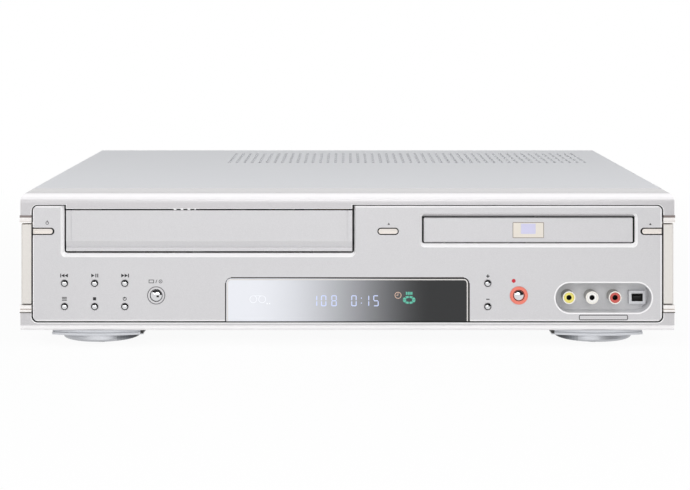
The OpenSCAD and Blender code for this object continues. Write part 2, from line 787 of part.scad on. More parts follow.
module display_window() {
  color([0.24, 0.26, 0.29]) {
    slab_y(y_panel, y_behind) window_pane(z_panel);
    slab_y(y_panel, y_behind + 0.4) window_pane(z_panel + 2.3);
    // flange that bears on the back of the panel
    slab_y(y_behind, y_behind + 0.8)
      rect(-window_w / 2 - 1.6, window_w / 2 + 1.6, z_panel + 2.3, z_window_top + 1.6);
  }
}

module control_board() {
  color("seagreen")
    slab_y(y_board, y_board + board_t) {
      rect(-inner_x + 8, inner_x - 8, z_lip + 5, z_board_top);
      for (x = [standby_x + 3, eject_x, open_x - 3]) rect(x - 6.5, x + 6.5, z_lip + 5, z_upper + 7);
    }
  color("dimgray") {
    for (k = all_keys) {
      box(k[0] - 3, k[0] + 3, y_board - 3.5, y_board, k[1] - 3, k[1] + 3);
      bar_y(k[0], k[1], 1.7, y_board - 4.3, y_board - 3.5 + eps);
    }
    box(-62, 62, y_board - 8, y_board, z_lip + 9, z_lip + 32);
    box(bay_x - 28, bay_x + 28, y_panel + bay_depth + 1.2, y_board, z_bay - 8, z_bay + 8);
  }
}

module jack_bay() {
  color("gainsboro")
    difference() {
      slab_y(y_panel, y_panel + bay_depth + 1.2) pill(bay_x, z_bay, bay_w, bay_h);
      slab_y(y_panel - 1, y_panel + bay_depth)
        pill(bay_x, z_bay, bay_w - 2 * bay_wall, bay_h - 2 * bay_wall);
      for (x = jack_x) bar_y(x, z_jack, jack_r, y_panel, y_panel + bay_depth + 3);
      box(dv_x - 5.5, dv_x + 5.5, y_panel, y_panel + bay_depth + 3, z_jack - 5.2, z_jack + 3.7);
    }
}

module jack_barrels() {
  color("silver")
    for (x = jack_x)
      difference() {
        bar_y(x, z_jack, jack_r, y_panel + 3, y_panel + bay_depth + 1.2);
        bar_y(x, z_jack, jack_r - 0.7, y_panel + 2, y_panel + bay_depth + 0.2);
      }
}

module jack_insert(x, c) {
  color(c)
    difference() {
      bar_y(x, z_jack, jack_r - 0.7, y_panel + 3.5, y_panel + bay_depth + 0.2);
      bar_y(x, z_jack, plug_hole_r, y_panel + 2, y_panel + bay_depth - 1);
    }
}

module video_jack_insert() { jack_insert(jack_x[0], "khaki"); }
module left_jack_insert() { jack_insert(jack_x[1], "whitesmoke"); }
module right_jack_insert() { jack_insert(jack_x[2], "indianred"); }

module dv_socket() {
  color("dimgray")
    difference() {
      box(dv_x - 5.5, dv_x + 5.5, y_panel + bay_depth - 4, y_panel + bay_depth + 1.2, z_jack - 5.2, z_jack + 3.7);
      box(dv_x - 3.7, dv_x + 3.7, y_panel + bay_depth - 5, y_panel + bay_depth + 0.4,
          z_jack - 3.3, z_jack + 1.8);
    }
  color("black")
    box(dv_x - 2.4, dv_x + 2.4, y_panel + bay_depth - 3, y_panel + bay_depth + 0.4, z_jack - 0.9, z_jack - 0.2);
}

// A round key: domed cap, shank, retaining collar and the stem to its switch
module round_key(x, z, r, proud, collar_r) {
  y_cap = y_panel - proud;
  dome = key_dome * r;
  dome_r = (r * r + dome * dome) / (2 * dome);
  intersection() {
    translate([x, y_cap + dome_r, z]) sphere(r = dome_r, $fn = 60);
    bar_y(x, z, r, y_cap - 1, y_cap + 3);
  }
  bar_y(x, z, r, y_cap + dome + 0.4, y_behind + slide_gap + eps);
  bar_y(x, z, collar_r, y_behind + slide_gap, y_behind + slide_gap + 1.2);
  bar_y(x, z, 1.2, y_behind + slide_gap, y_board - 4.5 - key_travel);
}

module small_key(i, c) {
  color(c) round_key(round_keys[i][0], round_keys[i][1], key_r, key_proud, key_hole_r + 1);
}

// A bar key: cap with a shallow dish, collar behind the panel and its stem
module bar_key(x, stem_x, side) {
  y_cap = y_panel - 0.2;
  color("whitesmoke") {
    difference() {
      slab_y(y_cap, y_behind + slide_gap) {
        if (side == 0) pill(x, z_upper, bar_key_w, bar_key_h);
        if (side != 0) pill(x - side * 0.2, z_upper, bar_key_w, bar_key_h);
        if (side != 0)
          rect(x - (side > 0 ? 0 : bar_key_w / 2), x + (side > 0 ? bar_key_w / 2 : 0),
               z_upper - bar_key_h / 2, z_upper + bar_key_h / 2);
      }
      slab_y(y_cap - 1, y_cap + 0.3) pill(x, z_upper, bar_key_w - 1.6, bar_key_h - 1.4);
    }
    slab_y(y_behind + slide_gap - eps, y_behind + slide_gap + 1.2)
      rect(stem_x - 3.4, stem_x + 3.4, z_upper - bar_key_h / 2 - 1, z_upper + bar_key_h / 2 + 1);
    bar_y(stem_x, z_upper, 1.2, y_behind + slide_gap, y_board - 4.5 - key_travel);
  }
}

module standby_button() { bar_key(standby_x, standby_x + 3, -1); }
module eject_button() { bar_key(eject_x, eject_x, 0); }
module open_close_button() { bar_key(open_x, open_x - 3, 1); }
module rewind_button() { small_key(0, "silver"); }
module play_button() { small_key(1, "silver"); }
module forward_button() { small_key(2, "silver"); }
module disc_menu_button() { small_key(3, "silver"); }
module stop_button() { small_key(4, "silver"); }
module rec_speed_button() { small_key(5, "silver"); }
module channel_up_button() { small_key(6, "silver"); }
module channel_down_button() { small_key(7, "silver"); }

module select_button() {
  color("silver") round_key(select_x, z_round, select_hole_r - 0.4, round_proud, select_hole_r + 1);
}

module record_button() {
  color("silver") round_key(record_x, z_round, record_hole_r - 0.35, round_proud, record_hole_r + 1);
}

module record_ring() {
  color("salmon")
    difference() {
      bar_y(record_x, z_round, record_ring_r, y_panel - 0.3, y_panel + 1.5);
      bar_y(record_x, z_round, record_hole_r, y_panel - 1, y_panel + 2);
    }
}

module cassette_flap() {
  y0 = y_panel;
  y1 = y_panel + flap_t;
  zb = z_flap + 2.3;
  zt = z_flap + 6.5;
  color("gainsboro") {
    difference() {
      slab_x(flap_x0, flap_x1)
        polygon([[y0, z_flap_top], [y0, zt], [y0 + 1.2, zb + 0.3], [y0 + 0.4, zb],
                 [y0 + 0.4, z_flap], [y1, z_flap], [y1, z_flap_top]]);
      for (x = [flap_x0 + 3.2, flap_x1 - 3.6])
        box(x, x + 0.5, y0 - 1, y0 + 0.35, zt + 0.4, z_flap_top + 1);
    }
    for (s = [-1, 1]) {
      x0 = s > 0 ? flap_x1 - ear_t : flap_x0;
      slab_x(x0, x0 + ear_t) {
        rect(y1 - 0.2, y_hinge + ear_r, z_flap_top - 12, z_flap_top - 0.4);
        rect(y_hinge - ear_r, y_hinge + ear_r, z_flap_top - 12, z_hinge);
        translate([y_hinge, z_hinge]) circle(r = ear_r);
      }
      x1 = s > 0 ? flap_x1 : flap_x0 - 2.6;
      bar_x(y_hinge, z_hinge, hinge_r, x1 - 0.1, x1 + 2.7);
    }
  }
}

module foot_outline(grow) {
  intersection() {
    translate([0, y_foot + bow_r]) circle(r = bow_r + grow, $fn = 96);
    rect(-foot_w / 2 - grow, foot_w / 2 + grow, y_foot - 5, y_foot + foot_d + grow);
  }
}

module front_feet() {
  color("lightslategray")
    for (s = [-1, 1])
      translate([s * foot_x, 0, z_lip - flange_t]) {
        slab_z(0, foot_rim) foot_outline(0);
        slab_z(foot_rim - eps, flange_t) foot_outline(-1);
        slab_z(foot_rim + foot_groove, flange_t) foot_outline(-0.3);
      }
}

// Section of a bowl: a cone from its pad out to the rim, rounding, and a wall that leans in to the flange
module bowl_section() {
  r = bowl_r - bowl_edge;
  polygon(concat(
    [[0, bowl_up], [pad_r, bowl_up]],
    [for (a = [-90:10:0]) [r + bowl_edge * cos(a), bowl_rim + bowl_edge * (1 + sin(a))]],
    [[bowl_r - 0.5, z_lip - flange_t], [0, z_lip - flange_t]]));
}

module foot_bowls() {
  color("silver")
    for (s = [-1, 1])
      difference() {
        translate([s * foot_x, y_bowl, 0]) rotate_extrude($fn = 96) bowl_section();
        bar_z(s * foot_x, y_bowl, pad_r + 0.2, 0, 1.6);
      }
}

module rubber_feet() {
  color("dimgray")
    for (s = [-1, 1]) {
      bar_z(s * foot_x, y_bowl, pad_r, 0, 1.6);
      translate([s * foot_x, rear_foot_y, 0]) cylinder(r1 = 9.5, r2 = 12, h = z_lip);
    }
}

module loader_chassis() {
  x0 = tray_x - loader_in_x;
  x1 = tray_x + loader_in_x;
  z_rim = z_tray + 13;
  yb = y_loader + loader_len;
  color("dimgray") {
    difference() {
      union() {
        // side walls, low at the front where they run above the control board
        for (x = [x0 - loader_wall, x1]) {
          box(x, x + loader_wall, y_loader, y_step + eps, z_shelf - 2, z_rim);
          box(x, x + loader_wall, y_step, yb, z_floor - 2, z_rim);
        }
        box(x0 - eps, x1 + eps, y_loader, y_step + 2, z_shelf - 2, z_shelf);
        box(x0 - eps, x1 + eps, y_step, y_step + 2, z_floor - 2, z_shelf);
        box(x0 - eps, x1 + eps, y_step, yb, z_floor - 2, z_floor);
        box(x0 - eps, x1 + eps, yb - 2, yb, z_floor - 2, z_tray - 4);
        // rails under the tray and guides over its edges
        for (s = [-1, 1]) {
          xa = s > 0 ? x1 - 4 : x0 - eps;
          box(xa, xa + 4 + eps, y_loader, yb, z_tray - slide_gap - 1.6, z_tray - slide_gap);
          for (y = [y_loader + 2, y_loader + 86, yb - 16])
            box(xa, xa + 4 + eps, y, y + 12, z_tray + 1.8 + slide_gap, z_tray + 3.8 + slide_gap);
        }
        // clamp bridge over the tray
        difference() {
          union() {
            box(x0 - loader_wall, x1 + loader_wall, y_disc - 14, y_disc + 14, z_rim - eps, z_rim + 2);
            bar_z(tray_x, y_disc, 17, z_rim - eps, z_rim + 2);
          }
          bar_z(tray_x, y_disc, 9.5, z_rim - 1, z_rim + 4);
        }
        // bearings of the disc drive's pivot
        for (s = [-1, 1])
          box(tray_x + s * 35 - 2, tray_x + s * 35 + 2, pivot_at[0] - 4, pivot_at[0] + 4,
              z_floor - eps, pivot_at[1] + 4);
        // posts of the two gears
        bar_z(drive_at[0], drive_at[1], 3.4, z_shelf - eps, z_gear - 0.4);
        bar_z(drive_at[0], drive_at[1], 1.8, z_shelf, z_gear + gear_t);
        bar_z(pulley_at[0], pulley_at[1], 1.8, z_shelf - eps, z_gear + gear_t);
      }
      // window for the disc drive
      box(tray_x - 33, tray_x + 33, y_disc - 30, pivot_at[0] + 8, z_floor - 3, z_floor + 0.5 * eps);
      bar_x(pivot_at[0], pivot_at[1], 2 + running, tray_x - 40, tray_x + 40);
      bar_z(motor_at[0], motor_at[1], 3.2, z_floor - 3, z_floor + 1);
      for (x = loader_leg_x, y = loader_leg_y) bar_z(x, y, 1.6, z_floor - 3, z_floor + 1);
    }
  }
}

module disc_tray() {
  x0 = tray_x - tray_w / 2;
  x1 = tray_x + tray_w / 2;
  z1 = z_tray + tray_t;
  y1 = y_tray + tray_len;
  color("dimgray")
    difference() {
      union() {
        slab_z(z_tray, z1) round_rect(x0, x1, y_tray - 20, y1, 3);
        box(tray_x - rail_x, tray_x + rail_x, y_tray + 1, y1 - 2, z_tray, z_tray + 1.8);
        rack(x0 + 0.6, y_rack, rack_teeth);
      }
      box(x0 - 1, x1 + 1, y_tray - 30, y_tray, z_tray - 10, z1 + 1);
      // recesses for the two sizes of disc
      bar_z(tray_x, y_disc, disc_r, z1 - disc_depth, z1 + 1);
      bar_z(tray_x, y_disc, small_disc_r, z1 - disc_depth - small_depth, z1 + 1);
      // slot for the turntable and the pickup
      bar_z(tray_x, y_disc, 20.5, z_tray - 1, z1 + 1);
      box(tray_x - 17, tray_x + 17, y_disc, y_disc + 78, z_tray - 1, z1 + 1);
      // finger notches at the sides of the recess
      for (s = [-1, 1]) bar_z(tray_x + s * 40, y_disc + 48, 9, z1 - disc_depth - 1.6, z1 + 1);
      // hollow underside behind the recess
      box(x0 + 12, x1 - 12, y_disc + 84, y1 - 4, z_tray - 1, z1 - 2);
    }
}

module tray_front() {
  z0 = z_tray_mid - tray_front_h / 2;
  z1 = z_tray_mid + tray_front_h / 2;
  color("gainsboro")
    difference() {
      union() {
        slab_y(y_panel + 0.6, y_tray) round_rect(tray_x0, tray_x1, z0, z1, 0.8);
        slab_y(y_panel, y_panel + 0.6 + eps)
          round_rect(tray_x0 + 0.6, tray_x1 - 0.6, z0 + 0.6, z1 - 0.6, 0.6);
      }
      box(tray_x0 + 2.4, tray_x1 - 2.4, y_panel + 2.6, y_tray - 1.6, z0 - 1, z1 - 2);
    }
}

module clamp_puck() {
  z0 = z_tray + 13;
  color("darkslategray")
    difference() {
      union() {
        bar_z(tray_x, y_disc, 12, z0 + 2 + slide_gap, z0 + 4.4);
        bar_z(tray_x, y_disc, 9, z0 - 1.6, z0 + 2 + slide_gap + eps);
        bar_z(tray_x, y_disc, 13.5, z0 - 3.4, z0 - 1.6 + eps);
      }
      bar_z(tray_x, y_disc, 7.6, z0 - 4, z0 + 1);
    }
}

// How far an involute has turned at a given radius, in degrees
function inv(a) = tan(a) * 180 / PI - a;
function flank(r, rb) = r <= rb ? 0 : inv(acos(rb / r));
function polar(r, a) = [r * cos(a), r * sin(a)];

// Outline of an involute spur gear, with a tooth centred on the +X side
module gear_outline(teeth) {
  rp = gear_m * teeth / 2;
  rb = rp * cos(20);
  ra = rp + gear_m;
  rr = rp - 1.2 * gear_m;
  rs = max(rb, rr + 0.01);
  half = 90 / teeth - backlash / 4 / rp * 180 / PI;
  at = half + flank(rp, rb);
  radii = [for (t = [0, 0.35, 0.7, 1]) rs + (ra - rs) * t];
  polygon([for (i = [0:teeth - 1])
    let (a = 360 / teeth * i)
    each concat(
      [polar(rr, a - at)],
      [for (r = radii) polar(r, a - at + flank(r, rb))],
      [for (j = [3:-1:0]) polar(radii[j], a + at - flank(radii[j], rb))],
      [polar(rr, a + at)])]);
}

// Straight-sided rack on the tray's underside, teeth towards +X
module rack(x_back, y0, count) {
  p = gear_m * PI;
  t = p / 2 - backlash / 2;
  k = tan(20) * gear_m;
  x_root = rack_pitch_x - 1.2 * gear_m;
  box(x_back, x_root + eps, y0 - 4, y0 + p * (count - 1) + 3, z_gear, z_tray + eps);
  slab_z(z_gear, z_tray + eps)
    for (i = [0:count - 1])
      translate([0, y0 + i * p])
        polygon([[x_root, -t / 2 - k * 1.2], [rack_pitch_x + gear_m, -t / 2 + k],
                 [rack_pitch_x + gear_m, t / 2 - k], [x_root, t / 2 + k * 1.2]]);
}

module loading_motor() {
  color("silver")
    difference() {
      union() {
        bar_z(motor_at[0], motor_at[1], motor_r, z_floor - 17, z_floor - 2);
        bar_z(motor_at[0], motor_at[1], 3.1, z_floor - 2 - eps, z_floor + 0.6);
        bar_z(motor_at[0], motor_at[1], 4, z_floor - 18.5, z_floor - 17 + eps);
      }
      bar_z(motor_at[0], motor_at[1], 1 + running, z_floor - 12, z_floor + 1);
    }
}

// A belt pulley with a groove, by its axis and its groove radius
module pulley(at, r, hub_z) {
  difference() {
    bar_z(at[0], at[1], r + 1.5, z_belt - 1, z_belt + belt_h + 1);
    difference() {
      bar_z(at[0], at[1], r + 2, z_belt - slide_gap, z_belt + belt_h + slide_gap);
      bar_z(at[0], at[1], r, z_belt - 1, z_belt + belt_h + 1);
    }
  }
  bar_z(at[0], at[1], 3.6, hub_z, z_belt);
}

module motor_pulley() {
  color("dimgray") {
    pulley(motor_at, motor_pulley_r, z_belt - 1.6);
    bar_z(motor_at[0], motor_at[1], 1, z_floor - 11.5, z_belt);
  }
}

module pulley_gear() {
  color("ivory")
    difference() {
      union() {
        pulley(pulley_at, pulley_r, z_shelf + slide_gap);
        bar_z(pulley_at[0], pulley_at[1], 4, z_belt, z_gear + eps);
        translate([pulley_at[0], pulley_at[1], 0])
          rotate([0, 0, 180 + (drive_teeth % 2 == 0 ? 0 : 180 / pinion_teeth)])
            slab_z(z_gear, z_gear + gear_t) gear_outline(pinion_teeth);
      }
      bar_z(pulley_at[0], pulley_at[1], 1.8 + running, z_shelf, z_tray);
    }
}

module drive_gear() {
  color("ivory")
    translate([drive_at[0], drive_at[1], 0])
      rotate([0, 0, 180 + 180 / drive_teeth])
        slab_z(z_gear, z_gear + gear_t)
          difference() {
            gear_outline(drive_teeth);
            circle(r = 1.8 + running);
            for (a = [0:60:300]) rotate(a) translate([drive_r * 0.56, 0]) circle(r = drive_r * 0.16);
          }
}

// Outline of a belt round two pulleys
module belt_outline(extra) {
  d = motor_at - pulley_at;
  a = atan2(d[1], d[0]);
  r0 = pulley_r + slide_gap + extra;
  r1 = motor_pulley_r + slide_gap + extra;
  b = acos((r0 - r1) / norm(d));
  translate(pulley_at) circle(r = r0);
  translate(motor_at) circle(r = r1);
  polygon([pulley_at + polar(r0, a - b), motor_at + polar(r1, a - b),
           motor_at + polar(r1, a + b), pulley_at + polar(r0, a + b)]);
}

module loading_belt() {
  color("black")
    slab_z(z_belt, z_belt + belt_h)
      difference() {
        belt_outline(belt_t);
        belt_outline(0);
      }
}

// Places children, drawn level, on the disc drive's lowered base. Y and Z count from the pivot.
module lowered() {
  translate([tray_x, pivot_at[0], pivot_at[1]]) rotate([drive_slope, 0, 0]) children();
}

module pickup_base() {
  color("silver")
    lowered() {
      difference() {
        box(-28, 28, drive_front, 2, 3, 5);
        box(-18, 18, sled_y - 3, -6, 2, 6);
      }
      for (s = [-1, 1]) {
        box(s * 27 - 1, s * 27 + 1, -5, 3, -3, 3 + eps);
        bar_x(0, 0, 2, s * 31.4 - 5.4, s * 31.4 + 5.4);
        for (y = [sled_y - 5, -6]) box(s * rod_x - 2.5, s * rod_x + 2.5, y, y + 2, 5 - eps, rod_z + 2.5);
        bar_y(s * rod_x, rod_z, 1.5, sled_y - 4, -5);
      }
      bar_z(0, -drive_arm, 12, -5, 3 + eps);
      difference() {
        bar_z(0, -drive_arm, 5, 5 - eps, 9);
        bar_z(0, -drive_arm, 1.5 + running, 4, 10);
      }
    }
}

module pickup_sled() {
  color("dimgray")
    lowered()
      difference() {
        union() {
          box(-26, 26, sled_y, sled_y + sled_len, 5 + slide_gap, 10.2);
          box(-9, 9, sled_y + 3, sled_y + sled_len - 3, 10, 10.8);
          bar_z(0, sled_y + sled_len / 2, 3, 10, 11.4);
        }
        for (s = [-1, 1]) bar_y(s * rod_x, rod_z, 1.5 + running, sled_y - 1, sled_y + sled_len + 1);
        box(-15, 15, sled_y + sled_len - 5, sled_y + sled_len + 1, 5, 7);
      }
}

module disc_turntable() {
  color("dimgray")
    lowered() {
      difference() {
        bar_z(0, -drive_arm, turntable_r, turn_z - 1.6, turn_z);
        difference() {
          bar_z(0, -drive_arm, 13.6, turn_z - 0.3, turn_z + 1);
          bar_z(0, -drive_arm, 9, turn_z - 1, turn_z + 2);
        }
      }
      bar_z(0, -drive_arm, 6, 9 + slide_gap, turn_z - 1);
      bar_z(0, -drive_arm, 1.5, 5, turn_z);
      translate([0, -drive_arm, turn_z - eps]) cylinder(r1 = 7.3, r2 = 6, h = 2.8);
    }
}

// A slot in a side plate, from an outline in Y and Z
module side_slot(y0, y1, z0, z1, r) {
  for (y = [y0, y1], z = [z0, z1]) translate([y, z]) circle(r = r);
  rect(y0 - (y1 > y0 ? 0 : r), y1 + (y1 > y0 ? 0 : r), z0 - (z1 > z0 ? 0 : r), z1 + (z1 > z0 ? 0 : r));
}

module deck_plate() {
  x0 = flap_x - deck_side_x - slider_t;
  x1 = flap_x + deck_side_x + slider_t;
  slot_r = pin_r + slide_gap;
  color("silver") {
    difference() {
      union() {
        box(x0, x1, y_deck, y_deck + deck_len, z_deck - deck_t, z_deck);
        for (s = [-1, 1])
          slab_x(flap_x + s * (deck_side_x + slider_t / 2) - slider_t / 2,
                 flap_x + s * (deck_side_x + slider_t / 2) + slider_t / 2)
            difference() {
              rect(y_deck, y_holder + holder_len + holder_in, z_deck - eps, z_slider_top + 1);
              for (y = runner_y)
                side_slot(y_holder + y, y_holder + y + holder_in, z_runner, z_runner, slot_r);
              rect(y_deck + 24, y_holder + holder_len + 14, z_deck + 12, z_runner - 12);
            }
        bar_z(capstan_x, y_capstan, 4.5, z_deck - eps, z_roller - slide_gap);
        // guide posts and head blocks beside the drum
        for (p = [[-58, 2], [-46, 20], [46, 20], [30, -4], [-30, -4]])
          bar_z(flap_x + p[0], y_capstan + p[1], 2.5, z_deck - eps, z_deck + 30);
        box(flap_x - 84, flap_x - 66, y_capstan + 6, y_capstan + 16, z_deck - eps, z_deck + 24);
        box(flap_x + 40, flap_x + 52, y_capstan + 30, y_capstan + 42, z_deck - eps, z_deck + 26);
      }
      bar_z(capstan_x, y_capstan, 2 + running, z_deck - 4, z_deck + 14);
      // openings that lighten the plate
      for (s = [-1, 1])
        bar_z(flap_x + s * 60, y_reel - 38, 12, z_deck - 4, z_deck + 1);
      box(flap_x - 20, flap_x + 20, y_deck + 12, y_reel - 16, z_deck - 4, z_deck + 1);
    }
    for (s = [-1, 1]) {
      bar_z(flap_x + s * reel_pitch / 2, y_reel, 3.2, z_deck - eps, z_deck + 2.2);
      bar_z(flap_x + s * reel_pitch / 2, y_reel, 1.5, z_deck, z_deck + 14);
    }
    bar_z(arm_at[0], arm_at[1], 3.4, z_deck - eps, z_deck + 5.7);
    bar_z(arm_at[0], arm_at[1], 2, z_deck, z_deck + 12);
  }
}

// The drum leans over sideways; its axis passes through the deck plate's face
module tilted() {
  translate([flap_x, y_drum, z_deck]) rotate([0, drum_tilt, 0]) children();
}

module lower_drum() {
  color("silver")
    difference() {
      union() {
        tilted() bar_z(0, 0, drum_r, drum_low, drum_mid);
        translate([flap_x, y_drum, z_deck]) bar_z(0, 0, drum_r - 9, 0, drum_low + 3);
      }
      tilted() {
        bar_z(0, 0, 3 + running, drum_low, drum_mid + 1);
        difference() {
          bar_z(0, 0, drum_r + 1, drum_mid - 4, drum_mid - 3.4);
          bar_z(0, 0, drum_r - 0.5, drum_mid - 5, drum_mid - 3);
        }
      }
    }
}

module head_drum() {
  color("gainsboro")
    tilted()
      difference() {
        union() {
          bar_z(0, 0, drum_r, drum_mid + slide_gap, drum_high - 2);
          bar_z(0, 0, drum_r - 8, drum_high - 2 - eps, drum_high);
          bar_z(0, 0, 3, drum_low + 4, drum_mid + 1);
        }
        for (a = [0, 180]) rotate([0, 0, a]) translate([drum_r - 1.4, -2, drum_mid]) cube([3, 4, 2.6]);
        for (a = [45:90:315]) rotate([0, 0, a]) bar_z(drum_r - 14, 0, 2.4, drum_high - 4, drum_high + 1);
      }
}

module reel(x) {
  color("ivory")
    difference() {
      union() {
        bar_z(x, y_reel, 20, z_deck + 2.5, z_deck + 5.5);
        bar_z(x, y_reel, 10.5, z_deck + 5.4, z_deck + 9);
        bar_z(x, y_reel, 5.6, z_deck + 8.9, z_deck + 20);
        translate([x, y_reel, z_deck + 20 - eps]) cylinder(r1 = 5.6, r2 = 3.4, h = 2);
        for (a = [0, 120, 240])
          translate([x, y_reel, z_deck + 8.9]) rotate([0, 0, a]) translate([0, -0.9, 0]) cube([8.4, 1.8, 10]);
      }
      bar_z(x, y_reel, 1.5 + running, z_deck + 2, z_deck + 14.5);
    }
}

module supply_reel() { reel(flap_x - reel_pitch / 2); }
module takeup_reel() { reel(flap_x + reel_pitch / 2); }

module capstan() {
  z1 = z_deck - deck_t - 0.5;
  color("silver") {
    bar_z(capstan_x, y_capstan, 2, z1 - 4, z_deck + 34);
    difference() {
      bar_z(capstan_x, y_capstan, 22, z1 - 7, z1);
      difference() {
        bar_z(capstan_x, y_capstan, 18, z1 - 8, z1 - 3);
        bar_z(capstan_x, y_capstan, 6, z1 - 8, z1 - 2);
      }
    }
  }
}

module pinch_arm() {
  z0 = z_arm;
  color("silver")
    difference() {
      union() {
        bar_z(arm_at[0], arm_at[1], 4.5, z0, z0 + 5);
        box(roller_at[0], arm_at[0], arm_at[1] - 2.6, arm_at[1] + 2.6, z0, z0 + 2);
        bar_z(roller_at[0], roller_at[1], 3.6, z0, z0 + 2.4);
        bar_z(roller_at[0], roller_at[1], pin_r, z0, z0 + 20);
      }
      bar_z(arm_at[0], arm_at[1], 2 + running, z0 - 1, z0 + 6);
    }
}

module pinch_roller() {
  z0 = z_roller;
  color("dimgray")
    difference() {
      union() {
        bar_z(roller_at[0], roller_at[1], roller_r, z0 + 0.6, z0 + 15);
        bar_z(roller_at[0], roller_at[1], 3.4, z0, z0 + 16);
      }
      bar_z(roller_at[0], roller_at[1], pin_r + running, z0 - 1, z0 + 17);
    }
}

module carriage_slider() {
  slot_r = pin_r + slide_gap;
  color("silver") {
    for (s = [-1, 1]) {
      x0 = flap_x + s * (slider_x + slider_t / 2) - slider_t / 2;
      slab_x(x0, x0 + slider_t)
        difference() {
          rect(y_holder, y_holder + holder_len + 4, z_slider, z_slider_top);
          for (y = guide_y)
            side_slot(y_holder + y, y_holder + y, z_guide - holder_drop, z_guide, slot_r);
        }
      for (y = runner_y)
        bar_x(y_holder + y, z_runner, pin_r, flap_x + s * (slider_x + 2.2) - 1.7,
              flap_x + s * (slider_x + 2.2) + 1.7);
    }
    box(flap_x - slider_x - eps, flap_x + slider_x + eps, y_holder + 60, y_holder + 84,
        z_slider_top - slider_t, z_slider_top);
  }
}

module cassette_holder() {
  z1 = z_cassette + cassette_h + 0.8;
  color("lightgray") {
    difference() {
      slab_y(y_holder, y_holder + holder_len)
        difference() {
          rect(flap_x - holder_x - sheet_t, flap_x + holder_x + sheet_t, z_cassette - sheet_t, z1 + sheet_t);
          rect(flap_x - holder_x, flap_x + holder_x, z_cassette, z1);
          rect(flap_x - holder_x + 22, flap_x + holder_x - 22, z_cassette - 3, z_cassette + 1);
        }
      slab_z(z1 - 1, z1 + 3) {
        round_rect(flap_x - 70, flap_x - 12, y_holder + 22, y_holder + holder_len - 16, 4);
        round_rect(flap_x + 12, flap_x + 70, y_holder + 22, y_holder + holder_len - 16, 4);
      }
    }
    for (s = [-1, 1], y = guide_y)
      bar_x(y_holder + y, z_guide, pin_r, flap_x + s * (holder_x + sheet_t + 0.5) - 0.9,
            flap_x + s * (holder_x + sheet_t + 0.5) + 0.9);
  }
}

module main_board() {
  b = main_box;
  z1 = z_board + board_t;
  color("seagreen")
    difference() {
      box(b[0], b[1], b[2], b[3], z_board, z1);
      for (x = loader_leg_x, y = loader_leg_y) bar_z(x, y, 5, z_board - 1, z1 + 1);
    }
  color("dimgray") {
    for (p = [[60, 70], [105, 95], [150, 60], [80, 150]])
      box(b[0] + p[0], b[0] + p[0] + 26, b[2] + p[1], b[2] + p[1] + 26, z1 - eps, z1 + 2.4);
    for (i = [0:5]) bar_z(b[0] + 20 + 14 * i, b[2] + 200, 4, z1 - eps, z1 + 9);
  }
  color("silver") box(b[0] + 120, b[1] - 10, b[3] - 75, b[3] - 40, z1 - eps, z1 + 12);
}

module power_board() {
  b = power_box;
  z1 = z_board + board_t;
  deep = b[3] - b[2];
  mid = b[2] + deep / 2;
  color("burlywood") box(b[0], b[1], b[2], b[3], z_board, z1);
  color("goldenrod") {
    box(b[1] - 44, b[1] - 8, mid - deep / 4, mid + deep / 4, z1 - eps, z1 + 34);
    box(b[1] - 47, b[1] - 5, mid - deep / 6, mid + deep / 6, z1 - eps, z1 + 30);
  }
  color("black") {
    bar_z(b[0] + 110, mid, deep * 0.18, z1 - eps, z1 + 36);
    for (i = [-1.5:1.5]) bar_z(b[1] - 62, mid + i * deep / 5, deep * 0.08, z1 - eps, z1 + 16);
  }
  color("silver")
    for (x = [b[0] + 60, b[0] + 146]) {
      box(x, x + 2, b[2] + deep / 8, b[3] - deep / 8, z1 - eps, z1 + 30);
      for (i = [-1.5:1.5])
        box(x + 2 - eps, x + 10, mid + i * deep / 5 - 0.7, mid + i * deep / 5 + 0.7, z1 + 4, z1 + 30);
    }
}

module scart_socket(x, z) {
  y0 = y_back - sheet_t - 1.2;
  difference() {
    box(x - scart_w / 2, x + scart_w / 2, y0 - 14, y_back + 1.2, z - scart_h / 2, z + scart_h / 2);
    slab_y(y_back - 9, y_back + 3)
      polygon([[x - 22.5, z + 5.4], [x + 22.5, z + 5.4], [x + 22.5, z - 2.4], [x + 19.5, z - 5.4],
               [x - 22.5, z - 5.4]]);
  }
  box(x - 19, x + 17, y_back - 9.1, y_back - 1, z - 1, z + 0.6);
}

module phono_socket(x, z) {
  y0 = y_back - sheet_t - 1.2;
  difference() {
    union() {
      bar_y(x, z, 4.9, y0 - 8, y_back + 0.6);
      bar_y(x, z, jack_r, y_back, y_back + 7);
    }
    difference() {
      bar_y(x, z, jack_r - 0.6, y_back + 4, y_back + 8);
      bar_y(x, z, jack_r - 1.2, y_back, y_back + 6.6);
    }
    bar_y(x, z, plug_hole_r, y_back - 4, y_back + 8);
  }
}

module rear_sockets() {
  y0 = y_back - sheet_t - 1.2;
  color("dimgray") {
    for (p = scart_at) scart_socket(p[0], p[1]);
    for (x = rear_jack_x, z = rear_jack_z) phono_socket(x, z);
    difference() {
      bar_y(svideo_at[0], svideo_at[1], 5.9, y0 - 10, y_back + 0.8);
      bar_y(svideo_at[0], svideo_at[1], 4.6, y_back - 4, y_back + 1);
    }
  }
  color("silver")
    for (p = aerial_at)
      difference() {
        union() {
          bar_y(p[0], p[1], 6.1, y0 - 6, y_back - 0.6);
          bar_y(p[0], p[1], 4.75, y_back - 1, y_back + socket_proud);
        }
        bar_y(p[0], p[1], 3.9, y_back - 2, y_back + socket_proud + 1);
      }
}

